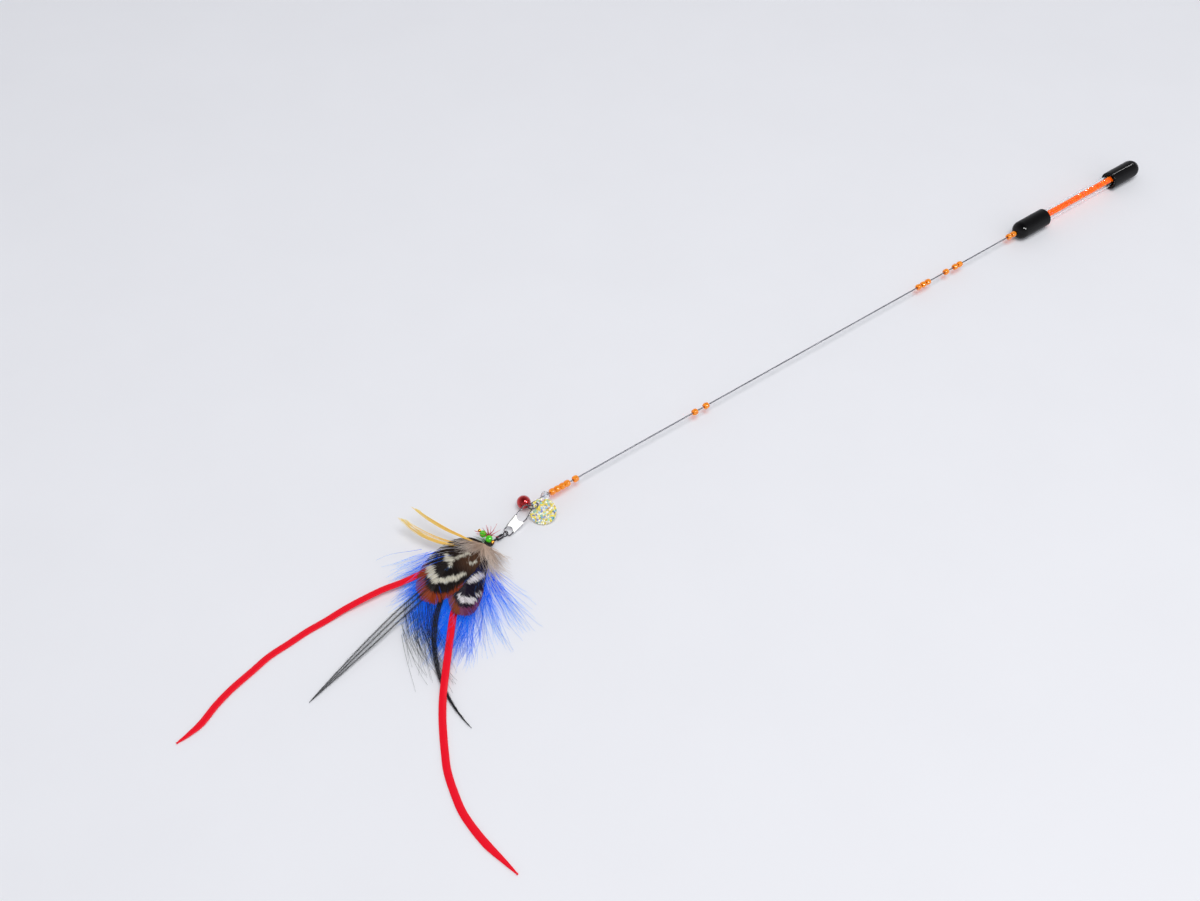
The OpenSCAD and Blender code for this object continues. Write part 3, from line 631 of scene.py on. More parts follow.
def outward(piece):
    """Turns a closed mesh's faces outwards."""
    work = bmesh.new()
    work.from_mesh(piece.data)
    bmesh.ops.remove_doubles(work, verts=work.verts, dist=0.0005 * MM)
    bmesh.ops.recalc_face_normals(work, faces=work.faces)
    work.to_mesh(piece.data)
    work.free()


def evaluated_mesh(source):
    bpy.context.view_layer.update()
    return bpy.data.meshes.new_from_object(source.evaluated_get(bpy.context.evaluated_depsgraph_get()))


def smooth_copy(cad_node, name, finish):
    """A merged copy of a node's mesh with soft shading across its small facets."""
    mesh = frame["nodes"][cad_node].data.copy()
    mesh.materials.clear()
    made = add_object(name, mesh, finish)
    made.modifiers.new("merge", "WELD").merge_threshold = 0.002 * MM
    merged = evaluated_mesh(made)
    made.modifiers.clear()
    made.data = merged
    merged.shade_smooth()
    merged.set_sharp_from_angle(angle=math.radians(50))
    return made


# Geometry trees
def geometry_tree(name, inputs, build):
    """A geometry tree that is built once; what it makes gets soft shading and the given finish."""

    def finished(tree, given):
        soft = output(tree, "GeometryNodeSetShadeSmooth", "Geometry", {"Geometry": build(tree, given)})
        real = output(tree, "GeometryNodeRealizeInstances", "Geometry", {"Geometry": soft})
        sockets = {"Geometry": real, "Material": given["Finish"]}
        return {"Geometry": output(tree, "GeometryNodeSetMaterial", "Geometry", sockets)}

    sockets = [("Geometry", "Geometry", None), *inputs, ("Finish", "Material", None)]
    return group(name, "GeometryNodeTree", sockets, [("Geometry", "Geometry")], finished)


def grown(name, mesh, tree, **inputs):
    """Runs a geometry tree on a mesh and keeps the result as a plain mesh."""
    seed_object = add_object(name + "_seed", mesh)
    modifier = seed_object.modifiers.new(tree.name, "NODES")
    modifier.node_group = tree
    for item in tree.interface.items_tree:
        if item.in_out == "INPUT" and item.name in inputs:
            modifier[item.identifier] = inputs[item.name]
    result = evaluated_mesh(seed_object)
    result.name = name
    bpy.data.objects.remove(seed_object)
    return add_object(name, result)


def circle(tree, resolution, radius):
    sockets = {"Resolution": resolution, "Radius": radius}
    return output(tree, "GeometryNodeCurvePrimitiveCircle", "Curve", sockets)


def on_each_point(tree, given, piece, **turn):
    """An instance of the piece on every point."""
    sockets = {"Points": given["Geometry"], "Instance": piece, **turn}
    return output(tree, "GeometryNodeInstanceOnPoints", "Instances", sockets)


def swept_lines():
    """Lines with a thickness at each point, swept into closed tapered strands."""

    def build(tree, given):
        lines = output(tree, "GeometryNodeMeshToCurve", "Curve", {"Mesh": given["Geometry"]})
        thick = output(tree, "GeometryNodeInputNamedAttribute", "Attribute", {"Name": "thick"})
        section = circle(tree, given["Sides"], 1.0)
        sockets = {"Curve": lines, "Profile Curve": section, "Scale": thick, "Fill Caps": True}
        return output(tree, "GeometryNodeCurveToMesh", "Mesh", sockets)

    return geometry_tree("swept_lines", [("Sides", "Int", 3)], build)


def scattered_beads():
    """A small ring bead on every point, each turned at random."""

    def build(tree, given):
        sockets = {"Curve": circle(tree, 10, given["Ring"]), "Profile Curve": circle(tree, 6, given["Wall"])}
        bead = output(tree, "GeometryNodeCurveToMesh", "Mesh", sockets)
        sockets = {0: (0.0, 0.0, 0.0), 1: (math.tau, math.tau, math.tau), "Seed": given["Seed"]}
        turn = output(tree, "FunctionNodeRandomValue", 0, sockets, data_type="FLOAT_VECTOR")
        return on_each_point(tree, given, bead, Rotation=turn)

    inputs = [("Ring", "Float", 0.45 * MM), ("Wall", "Float", 0.3 * MM), ("Seed", "Int", 5)]
    return geometry_tree("scattered_beads", inputs, build)


def strung_beads():
    """A bulging bored bead on every point, its hole along X."""

    def build(tree, given):
        sockets = {"X": given["Half wall"], "Y": given["Half length"], "Z": 1.0}
        stretch = output(tree, "ShaderNodeCombineXYZ", "Vector", sockets)
        sockets = {"Geometry": circle(tree, 20, 1.0), "Scale": stretch}
        oval = output(tree, "GeometryNodeTransform", "Geometry", sockets)
        sockets = {"Curve": circle(tree, 40, given["Middle"]), "Profile Curve": oval}
        bead = output(tree, "GeometryNodeCurveToMesh", "Mesh", sockets)
        sockets = {"Geometry": bead, "Rotation": (0.0, math.pi / 2, 0.0)}
        return on_each_point(tree, given, output(tree, "GeometryNodeTransform", "Geometry", sockets))

    inputs = [("Middle", "Float", 1.35 * MM), ("Half wall", "Float", 0.65 * MM)]
    inputs.append(("Half length", "Float", 1.65 * MM))
    return geometry_tree("strung_beads", inputs, build)


class Lines:
    """Gathers lines, with what each point carries, for the sweeping tree."""

    def __init__(self):
        self.points, self.thick, self.along, self.tone, self.marking = [], [], [], [], []

    def add(self, points, thick, tone, marking=None):
        count = len(points)
        self.points.append(np.asarray(points, float))
        self.thick.append(np.broadcast_to(thick, count))
        self.along.append(np.linspace(0, 1, count))
        self.tone.append(np.full(count, tone))
        if marking is None:
            marking = np.zeros((count, 3))
        self.marking.append(np.hstack([marking, np.ones((count, 1))]))

    def add_tapered(self, points, thick_from, thick_to, tone, marking=None):
        """Adds a line that thins evenly; both thicknesses are in millimetres."""
        self.add(points, np.linspace(thick_from, thick_to, len(points)) * MM, tone, marking)

    def swept(self, name, finish, sides, slot, cad_node):
        """Sweeps the lines into one piece of the lure that stands in for a CAD node."""
        edges = []
        start = 0
        for count in (len(one) for one in self.points):
            edges += [(start + k, start + k + 1) for k in range(count - 1)]
            start += count
        mesh = point_mesh(
            name, np.vstack(self.points).tolist(), edges, thick=np.concatenate(self.thick),
            along=np.concatenate(self.along), tone=np.concatenate(self.tone),
        )
        marks = mesh.attributes.new("marking", "FLOAT_COLOR", "POINT")
        marks.data.foreach_set("color", np.vstack(self.marking).ravel())
        piece = grown(name, mesh, swept_lines(), Sides=sides, Finish=FINISHES[finish])
        stand_in(piece, LURE, slot, cad_node)


# Handle and wire
def build_fill(looks):
    """Tiny beads packed in rings inside the liner."""
    low, high, middle = node_box("bead_fill")
    size = looks.fill_bead
    wall = size * 0.24
    reach = (high[1] - low[1]) / 2 - size / 2
    apart = size * 0.98
    in_ring = int(math.tau * reach / apart)
    step = size * 0.86
    layers = int((high[0] - low[0] - size) / step)
    rng = np.random.default_rng(looks.seed)
    places = []
    for layer in range(layers + 1):
        x = low[0] + size / 2 + layer * step
        for k in range(in_ring):
            angle = math.tau * (k + 0.5 * (layer % 2) + rng.uniform(-0.1, 0.1)) / in_ring
            away = reach * rng.uniform(0.94, 1.0)
            shift = rng.uniform(-0.1, 0.1) * size
            y, z = middle[1] + away * math.cos(angle), middle[2] + away * math.sin(angle)
            places.append((x + shift, y, z))
        places.append((x, middle[1], middle[2]))
    mesh = point_mesh("fill_places", places, tone=rng.uniform(0, 1, len(places)))
    piece = grown(
        "tiny_beads", mesh, scattered_beads(), Ring=size / 2 - wall, Wall=wall, Seed=looks.seed,
        Finish=FINISHES["fill"],
    )
    stand_in(piece, HANDLE, "orange_beads", "bead_fill")


WIRE_BEADS = {
    "nose_beads": 2,
    "rear_pair_beads": 2,
    "rear_single_bead": 1,
    "rear_three_beads": 3,
    "middle_rear_bead": 1,
    "middle_front_bead": 1,
    "front_single_bead": 1,
    "front_four_beads": 4,
}
BEAD_HALF_LEN = 1.65 * MM
BEAD_BORE_R = 0.7 * MM


def build_wire_beads():
    """Each group of loose beads on the wire, as many as it has."""
    for cad_node, count in WIRE_BEADS.items():
        low, high, middle = node_box(cad_node)
        along = np.linspace(low[0] + BEAD_HALF_LEN, high[0] - BEAD_HALF_LEN, count)
        mesh = point_mesh(cad_node + "_places", [(x, middle[1], middle[2]) for x in along])
        outer = (high[2] - low[2]) / 2
        sockets = {
            "Middle": (outer + BEAD_BORE_R) / 2,
            "Half wall": (outer - BEAD_BORE_R) / 2,
            "Half length": BEAD_HALF_LEN,
            "Finish": FINISHES["bead"],
        }
        piece = grown("amber_" + cad_node, mesh, strung_beads(), **sockets)
        outward(piece)
        stand_in(piece, cad_node, "amber_beads", cad_node)


def build_crystal():
    """Cut crystal: a belt, a crown of kites and a small table at each end, bored for the wire."""
    low, high, middle = node_box("crystal_bead")
    half, radius = (high[0] - low[0]) / 2, (high[2] - low[2]) / 2
    facets = 10
    hole_share = 0.26
    bands = [(1.0, hole_share), (1.0, 0.46), (0.62, 0.82), (0.16, 1.0)]
    bands += [(-along, wide) for along, wide in reversed(bands)]
    points, faces = [], []
    for row, (along, wide) in enumerate(bands):
        after = (row + 1) % len(bands)
        for k in range(facets):
            angle = math.tau * (k + 0.5 * (row % 2)) / facets
            y, z = wide * radius * math.cos(angle), wide * radius * math.sin(angle)
            points.append(middle + np.array([along * half, y, z]))
            a, b = row * facets + k, row * facets + (k + 1) % facets
            under_a, under_b = after * facets + k, after * facets + (k + 1) % facets
            if row % 2 == 0:
                faces += [(a, b, under_a), (b, under_b, under_a)]
            else:
                faces += [(a, b, under_b), (a, under_b, under_a)]
    piece = mesh_object("cut_crystal", points, faces, "crystal", smooth=False)
    outward(piece)
    stand_in(piece, "crystal_bead", "crystal", "crystal_bead")


# Lure head
def build_head(looks):
    """The bound stems, the dark winding with its cut ends, the beads and the red threads."""
    rng = np.random.default_rng(looks.seed + 1)
    core = Lines()
    stems, steps, stem_thick = 26, 9, 0.42 * MM
    run = np.linspace(0, HEAD_LEN, steps)[:, None] * LURE_LINE
    swell = np.sin(np.linspace(0.25, 2.6, steps))[:, None] * 0.25 + 0.85
    for k in range(stems):
        away = HEAD_R * 0.62 * about(math.tau * k / stems, SIDE, OVER)
        core.add(HEAD_FRONT + run + away * swell, stem_thick, rng.uniform(0, 1))
    core.swept("head_stems", "core", 5, "core_cord", "head_core")

    winding = Lines()
    turns, in_turn, cut_ends = 11, 26, 9
    shares = np.linspace(0, 1, turns * in_turn)
    angles = shares * turns * math.tau
    swell = 1.55 * MM + 0.42 * MM * np.sin(math.pi * shares)
    spine = (
        HEAD_FRONT
        + (0.06 + 0.86 * shares)[:, None] * HEAD_LEN * LURE_LINE
        + (swell * np.cos(angles))[:, None] * SIDE
        + (swell * np.sin(angles))[:, None] * OVER
    )
    winding.add(spine, 0.24 * MM, 0.7)
    # Cut ends of the dark thread stand out beside the eye beads
    shares = np.linspace(0, 1, 7)[:, None]
    for k in range(cut_ends):
        turn = math.radians(120 + 9 * k + rng.uniform(-4, 4))
        way = unit(heading_way(turn, rng.uniform(0.1, 0.9)))
        root = HEAD_MID + KNOT_SHIFT * np.array([0, 0.7, 0.4]) - LURE_LINE * rng.uniform(-0.5, 1.5) * MM
        bend = rng.normal(0, 0.6, 3) * MM
        spine = root + way * rng.uniform(5.5, 9.0) * MM * shares + bend * shares**2
        winding.add_tapered(spine, 0.12, 0.04, rng.uniform(0, 1))
    winding.swept("head_winding", "thread", 6, "dark_thread", "head_thread")

    dress("green", "green_beads")
    dress("gold", "gold_beads")
    build_red_threads(rng)


def build_red_threads(rng):
    """The cross thread, the knot and the loose ends that stand up in a fan."""
    low, high, middle = node_box("cross_thread")
    cross_way = unit(np.array([low[0] - high[0], high[1] - low[1], 0.0]))
    half = (high[1] - low[1]) / 2
    cross = Lines()
    strands = 3
    run = np.linspace(-1, 1, 15)[:, None] * half * cross_way
    for k in range(strands):
        away = 0.12 * MM * about(math.tau * k / strands, UP, np.cross(cross_way, UP))
        cross.add(middle + run + away, 0.17 * MM, 0.3 + 0.2 * k)
    cross.swept("bead_thread", "red", 5, "red_thread", "cross_thread")

    knot = HEAD_FRONT + 0.08 * HEAD_LEN * LURE_LINE + KNOT_SHIFT
    tuft = Lines()
    rings, ends = 7, 16
    shares = np.linspace(0, math.tau, 19)[:, None]
    for k in range(rings):
        ring = np.cos(shares) * about(math.pi * k / rings, SIDE, UP) + np.sin(shares) * LURE_LINE
        tuft.add(knot + ring * 0.95 * MM, 0.4 * MM, rng.uniform(0, 1))
    shares = np.linspace(0, 1, 8)[:, None]
    for k in range(ends):
        spread = math.radians(-75 + 150 * k / (ends - 1) + rng.uniform(-6, 6))
        lean = rng.uniform(-0.35, 0.45)
        across = math.sin(spread) * np.array([0.81, -0.58, 0])
        way = unit(across + math.cos(spread) * UP + lean * np.array([0.5, 0.8, 0]))
        reach = rng.uniform(5.0, 8.5) * MM
        bend = rng.normal(0, 0.9, 3) * MM
        tuft.add_tapered(knot + way * reach * shares + bend * shares**2, 0.24, 0.1, rng.uniform(0, 1))
    tuft.swept("red_thread_ends", "red", 4, "red_thread", "red_thread")


# Feathers
def oval_outline(widest):
    """An outline walked evenly from the vane's root to its round tip."""

    def at(walk):
        angle = math.pi * walk
        lean = -math.cos(angle)
        along = widest * (1 + lean) if lean < 0 else widest + (1 - widest) * lean
        return along, math.sin(angle) ** 0.8

    return at


def lance_outline(skew):
    """A slim outline that comes to a point at both ends."""

    def at(walk):
        return walk, math.sin(math.pi * walk**skew) ** 0.5

    return at


def place_on_vane(barb, spine, lefts, half):
    """Where a barb's points lie: their share along the spine, and across it from -1 to 1."""
    apart = barb[:, None, :2] - spine[None, :, :2]
    nearest = np.argmin(np.linalg.norm(apart, axis=2), axis=1)
    across = np.einsum("ij,ij->i", apart[np.arange(len(barb)), nearest], lefts[nearest, :2])
    return nearest / (len(spine) - 1), across / half


# How far a barb bows out and back, as shares of its reach, and the share of its thickness that it loses
BARB_BOW = 0.16
BARB_BACK = 0.1
BARB_THINNING = 0.6


def vane(
    lines, rng, spine, half, outline, count, lean, thick, marks=None, camber=0.0, fray=0.03, points=6,
    split=0.06,
):
    """Barbs on both sides of a spine: each leaves it at a slant and ends on the outline."""
    length = path_length(spine)
    lefts = lefts_of(spine)
    t = np.linspace(0, 1, points)
    for hand in (1, -1):
        parting = 0.0
        for k in range(count):
            along, wide = outline((k + 0.5) / count)
            reach = half * wide
            slant = math.radians(lean[0] + (lean[1] - lean[0]) * along)
            root, way = on_path(spine, max(0.0, along - reach / math.tan(slant) / length))
            end, end_way = on_path(spine, along)
            left = unit(np.cross(UP, way))
            end = end + hand * reach * unit(np.cross(UP, end_way))
            if rng.uniform() < split:
                parting = rng.normal(0, 0.05) * half
            end = end + end_way * (rng.normal(0, fray) * half * 0.5 + parting) + UP * rng.normal(0, 0.1) * MM
            control = (root + end) / 2 + hand * left * reach * BARB_BOW - way * reach * BARB_BACK
            barb = (
                ((1 - t) ** 2)[:, None] * root
                + (2 * t * (1 - t))[:, None] * control
                + (t**2)[:, None] * end
            )
            barb[:, 2] -= camber * (wide * t) ** 2
            above_floor(barb, thick * 1.2)
            colours = None
            if marks is not None:
                share, across = place_on_vane(barb, spine, lefts, half)
                ragged = rng.normal(0, 0.45, 2) * MM
                colours = marks(share + ragged[0] / length, across + ragged[1] / half)
            lines.add(barb, thick * (1 - BARB_THINNING * t**3), rng.uniform(0, 1), colours)


def rachis(lines, spine, thick_from, thick_to, colour, tone):
    """The quill of a feather."""
    count = 24
    lines.add_tapered(even_path(spine, count), thick_from, thick_to, tone, np.tile(colour, (count, 1)))


# The width over which a painted stroke fades out, in millimetres
STROKE_EDGE = 0.5


def near_stroke(s, v, stroke, radius, length, half):
    """How far inside a painted stroke each place lies, from 0 to 1; the stroke is in millimetres."""
    place = np.stack([s * length, v * half], axis=1) / MM
    best = np.full(len(place), np.inf)
    for a, b in zip(np.array(stroke[:-1], float), np.array(stroke[1:], float)):
        run = b - a
        share = np.clip(((place - a) @ run) / (run @ run), 0, 1)
        best = np.minimum(best, np.linalg.norm(place - a - share[:, None] * run, axis=1))
    return np.clip((radius - best) / STROKE_EDGE + 0.5, 0, 1)


def painted(base, over, mask):
    return base + (np.array(over) - base) * mask[:, None]


def rim_mask(s, v, round_from, inner, rim_from, rim_over):
    """1 on the rim of a feather's round end; the rim is thinner to the left."""
    edge = 1 - np.sqrt(np.clip((s - round_from) / (1 - round_from), 0, 1) ** 2 + v**2)
    rim = np.clip((inner - 0.2 * np.clip(v, 0, 1) - edge) / 0.05, 0, 1)
    return rim * np.clip((s - rim_from) / rim_over, 0, 1)


def large_ground(s, v):
    """Black with a brown base and a chestnut rim."""
    base_fade = np.clip((0.52 - s) / 0.2, 0, 1) * np.clip(0.35 + 1.6 * v, 0.1, 1)
    colours = painted(np.tile(PITCH, (len(s), 1)), UMBER, base_fade)
    return painted(colours, CHESTNUT, rim_mask(s, v, 0.55, 0.29, 0.58, 0.08))


def small_ground(s, v):
    """Purple-black with a rim that turns from brown to purple."""
    rim_colour = np.where((v > -0.25)[:, None], linear(132, 62, 104), linear(150, 70, 24))
    return painted(np.tile(linear(24, 12, 38), (len(s), 1)), rim_colour, rim_mask(s, v, 0.6, 0.27, 0.6, 0.1))


# Pale strokes: points along and across the feather, and a radius, in millimetres
LARGE_STROKES = (
    ([(30.8, -8.6), (33.0, -6.6), (36.2, -1.4)], 2.0),
    ([(36.2, -1.4), (34.0, 3.4), (30.0, 7.4)], 1.7),
    ([(30.0, 7.4), (24.8, 9.5)], 1.3),
    ([(20.2, -6.4), (22.0, -3.6)], 1.1),
    ([(22.0, -3.6), (21.2, -1.4)], 1.7),
    ([(21.6, -1.2), (25.4, 0.8)], 0.9),
    ([(18.5, 0.0), (14.5, 1.2), (11.5, 2.4)], 0.9),
    ([(16.0, 7.8), (12.5, 8.7)], 0.9),
)
SMALL_STROKES = (
    ([(36.6, -3.4), (39.2, -1.6)], 1.1),
    ([(39.4, -0.6), (39.8, 4.2)], 2.0),
    ([(27.4, 1.4), (25.8, 3.4)], 1.5),
    ([(25.4, 3.8), (22.6, 6.2)], 2.1),
    ([(34.6, 6.3), (36.4, 6.6)], 0.55),
    ([(34.0, 8.0), (36.0, 8.3)], 0.55),
)


def feather_marks(ground, strokes, colour, length, half):
    """Colours a feather by place: its ground, then its strokes."""

    def marks(s, v):
        colours = ground(s, v)
        for stroke, radius in strokes:
            colours = painted(colours, colour, near_stroke(s, v, stroke, radius, length, half))
        return colours

    return marks


def build_spotted_feathers(looks):
    rng = np.random.default_rng(looks.seed + 2)
    length = 49 * MM

    half = 13.2 * MM
    large = Lines()
    spine = arc_path(
        quill_root(2.0), length, heading_from=178, heading_to=224, heights=(-2.4, 2.2, 3.0, 2.6, 1.4)
    )
    marks = feather_marks(large_ground, LARGE_STROKES, CREAM, length, half)
    vane(
        large, rng, spine, half, oval_outline(widest=0.56), count=170, lean=(62, 30), thick=0.21 * MM,
        marks=marks, camber=1.3 * MM, points=20,
    )
    rachis(large, spine, thick_from=0.32, thick_to=0.1, colour=linear(70, 48, 34), tone=0.6)
    large.swept("large_spotted_feather", "pheasant", 4, "pheasant", "large_feather")

    half = 9.6 * MM
    small = Lines()
    spine = arc_path(
        quill_root(3.4), length, heading_from=212, heading_to=240, heights=(-2.6, 0.6, 1.2, 1.0, 0.2)
    )
    marks = feather_marks(small_ground, SMALL_STROKES, linear(236, 232, 236), length, half)
    vane(
        small, rng, spine, half, oval_outline(widest=0.64), count=140, lean=(58, 30), thick=0.2 * MM,
        marks=marks, camber=0.9 * MM, points=16,
    )
    rachis(small, spine, thick_from=0.3, thick_to=0.1, colour=linear(60, 40, 50), tone=0.6)
    small.swept("small_spotted_feather", "pheasant", 4, "pheasant", "small_feather")


def build_crests(looks):
    """Two sprays of stiff golden filaments that part in the middle and meet again at the tip."""
    rng = np.random.default_rng(looks.seed + 3)
    sprays = (
        ("upper_golden_crest", "upper_crest", 48 * MM, (135, 99), 0.2, (-2.2, 2.4, 4.4, 5.0), (0.0, 0.9)),
        ("lower_golden_crest", "lower_crest", 54 * MM, (162, 92), 0.8, (-2.4, 0.8, 2.6, 4.0), (0.0, 2.6)),
    )
    filaments, steps = 34, 26
    bow = np.sin(math.pi * np.linspace(0, 1, steps) ** 1.4)
    for name, cad_node, length, (heading_from, heading_to), angle, heights, partings in sprays:
        lines = Lines()
        for k in range(filaments):
            off = rng.normal(0, 1.0)
            spine = arc_path(
                quill_root(angle + 0.03 * k), length * rng.uniform(0.88, 1.0), heading_from + off,
                heading_to - off * 0.9, heights, steps,
            )
            parting = partings[k % 4 == 0] + rng.normal(0, 0.22)
            spine += (parting * bow)[:, None] * MM * unit(np.array([0.62, 0.78, 0.0]))
            spine[:, 2] += rng.normal(0, 0.3) * MM * bow
            lines.add_tapered(spine, 0.2, 0.07, rng.uniform(0, 1))
        lines.swept(name, "crest", 5, "golden_feather", cad_node)


def build_hackles(looks):
    """Two long slim dark feathers: dense near the tie, then thin quills with webs that let light by."""
    rng = np.random.default_rng(looks.seed + 4)
    feathers = (
        ("long_dark_hackle", "long_hackle", 127 * MM, (189, 197), 1.2, (-2.6, 0.0, 2.8), 2.6, 0.4, 0),
        ("curved_dark_hackle", "curved_hackle", 122 * MM, (190, 280), 3.9, (-0.9, 0.0, 0.9), 2.4, 0.5, 84),
    )
    heights = (-2.8, -1.2, -0.8, -1.8, -3.6, -4.8, -5.2)
    slim, dense = lance_outline(skew=0.9), lance_outline(skew=0.7)
    ragged = {"fray": 0.2, "split": 0.12}
    for name, cad_node, length, headings, angle, quills, loose, stem, trailing in feathers:
        lines = Lines()
        spine = arc_path(quill_root(angle), length, *headings, heights, count=90)
        lefts = lefts_of(spine)
        bow = np.sin(math.pi * np.linspace(0, 1, len(spine)) ** 0.85)[:, None]
        for off in quills:
            quill = spine + lefts * off * MM * bow
            vane(lines, rng, quill, 0.85 * MM, slim, count=120, lean=(15, 8), thick=0.042 * MM, **ragged)
            vane(lines, rng, quill, 1.6 * MM, slim, count=26, lean=(20, 9), thick=0.03 * MM, **ragged)
            rachis(lines, quill, stem, thick_to=0.13, colour=linear(10, 10, 12), tone=0.1)
        near = spine[: len(spine) * 2 // 5]
        vane(
            lines, rng, near, loose * MM, dense, count=130, lean=(30, 14), thick=0.07 * MM, fray=0.25,
            split=0.2,
        )
        # Long loose barbs trail from the outer side of the curved one
        for _ in range(trailing):
            start, way = on_path(spine, rng.uniform(0.34, 0.52))
            turn = math.radians(rng.uniform(8, 26))
            left = unit(np.cross(UP, way))
            root = start - left * rng.uniform(2.0, 19.0) * MM
            reach = rng.uniform(18, 38) * MM
            along = unit(about(turn, way, left))
            barb = wavy(root, along, reach, reach * rng.uniform(0.04, 0.2), rng, 9, 0.5 * MM, 0.8 * MM)
            lines.add_tapered(above_floor(barb), 0.095, 0.04, rng.uniform(0.3, 1))
        lines.swept(name, "hackle", 4, "black_hackle", cad_node)


def wavy(root, way, reach, bend, rng, count, wave, sag):
    """A soft hair: a straight line bent sideways, with small waves and a sag to the surface."""
    t = np.linspace(0, 1, count)
    side = unit(np.cross(UP, way) + 1e-9)
    phase = rng.uniform(0, math.tau)
    ripple = np.sin(t * rng.uniform(4, 9) + phase) - math.sin(phase)
    hair = root + t[:, None] * reach * way
    hair = hair + (bend * t**2 + wave * ripple * t)[:, None] * side
    hair[:, 2] += wave * 0.6 * np.cos(t * 6 + phase) * t - sag * t**2
    return hair


def plume(lines, spine, count, rng):
    """Long soft barbs along both sides of a thin quill."""
    thick = 0.07 * MM * np.array([1, 1, 0.95, 0.85, 0.7, 0.5, 0.25])
    for k in range(count):
        share = 0.12 + 0.88 * (k + rng.uniform(0, 1)) / count
        root, way = on_path(spine, share)
        hand = 1 if k % 2 else -1
        angle = math.radians(rng.uniform(6, 28)) * hand
        turned = unit(about(angle, way, unit(np.cross(UP, way))) + UP * rng.normal(0, 0.09))
        long = 24 * MM * rng.uniform(0.55, 1.1) * (1 - 0.35 * share)
        bend = -hand * long * rng.uniform(0.05, 0.3)
        hair = wavy(root, turned, long, bend, rng, len(thick), 0.6 * MM, 0.8 * MM)
        lines.add(above_floor(hair), thick, rng.uniform(0, 1) ** 1.3)


def build_marabou(looks):
    """A fan of soft blue plumes, with loose hairs past both of its edges."""
    rng = np.random.default_rng(looks.seed + 5)
    lines = Lines()
    headings = (148, 161, 180, 200, 214, 226, 236, 249, 262)
    reaches = (47, 52, 58, 72, 84, 87, 80, 62, 50)
    for k in range(looks.plumes):
        share = (k + rng.uniform(0, 1)) / looks.plumes
        heading = np.interp(share, (0, 0.1, 0.92, 1), (163, 184, 224, 233))
        reach = np.interp(heading, headings, reaches) * MM * rng.uniform(0.84, 1.0)
        low = rng.uniform(-5.2, -2.6)
        spine = arc_path(
            TIE - 1.2 * MM * LURE_LINE, reach * 0.78, heading + rng.normal(0, 5), heading + rng.normal(0, 3),
            (-4.0, low + 0.9, low + 0.6, low, max(low - 1.2, -5.7)), 40,
        )
        plume(lines, spine, int(looks.plume_barbs * (0.4 + 0.6 * math.sin(math.pi * share) ** 0.6)), rng)
        lines.add_tapered(even_path(spine, 16), 0.28, 0.06, 0.3)
    loose_hairs = ((80, (230, 258), (12, 32), (22, 40)), (90, (148, 188), (10, 34), (18, 28)))
    for count, spread, starts, lengths in loose_hairs:
        for _ in range(count):
            turn = math.radians(rng.uniform(*spread))
            root = TIE + heading_way(turn) * rng.uniform(*starts) * MM
            root[2] = rng.uniform(-4.6, -1.8) * MM
            way = heading_way(turn + math.radians(rng.uniform(4, 24)))
            reach = rng.uniform(*lengths) * MM
            hair = wavy(root, way, reach, reach * rng.uniform(-0.06, 0.16), rng, 12, 0.8 * MM, 1.5 * MM)
            lines.add_tapered(above_floor(hair), 0.12, 0.035, rng.uniform(0.3, 1))
    lines.swept("blue_marabou_fan", "marabou", 3, "blue_marabou", "marabou_fan")


def build_down(looks):
    """Grey-brown fluff over the feathers' roots, longer to both sides than in front of them."""
    rng = np.random.default_rng(looks.seed + 6)
    lines = Lines()
    headings = (150, 165, 180, 206, 228, 240, 256, 266, 290)
    reaches = (24, 24, 16, 13, 19, 31, 30, 28, 12)
    in_lock = 11
    locks = looks.down_hairs // in_lock
    for lock in range(locks):
        middle = 150 + 134 * ((lock + rng.uniform(0, 1)) / locks) ** 0.8
        # Over the large feather it rises past the barbs that it lies on
        rise = np.interp(middle, (170, 215), (0.5, 0.12)) + rng.uniform(-0.14, 0.1)
        long = np.interp(middle, headings, reaches) * MM * rng.uniform(0.45, 1.05)
        bend, tone = rng.normal(0, 0.24), rng.uniform(0, 1)
        start = TIE - 0.6 * MM * LURE_LINE + UP * rng.uniform(0.6, 3.4) * MM
        for _ in range(in_lock):
            turn = math.radians(middle + rng.normal(0, 5))
            way = unit(heading_way(turn, rise + rng.normal(0, 0.05)))
            reach = long * rng.uniform(0.5, 1.05)
            root = start + way * rng.uniform(0, 5) * MM
            hair_bend = reach * (bend + rng.normal(0, 0.06))
            hair = wavy(root, way, reach, hair_bend, rng, 9, 1.1 * MM, rng.uniform(1, 6) * MM)
            shade = np.clip(tone + rng.normal(0, 0.2), 0, 1)
            lines.add_tapered(above_floor(hair, 1.0 * MM), 0.13, 0.04, shade)
    lines.swept("grey_down_tuft", "down", 3, "grey_down", "down_tuft")


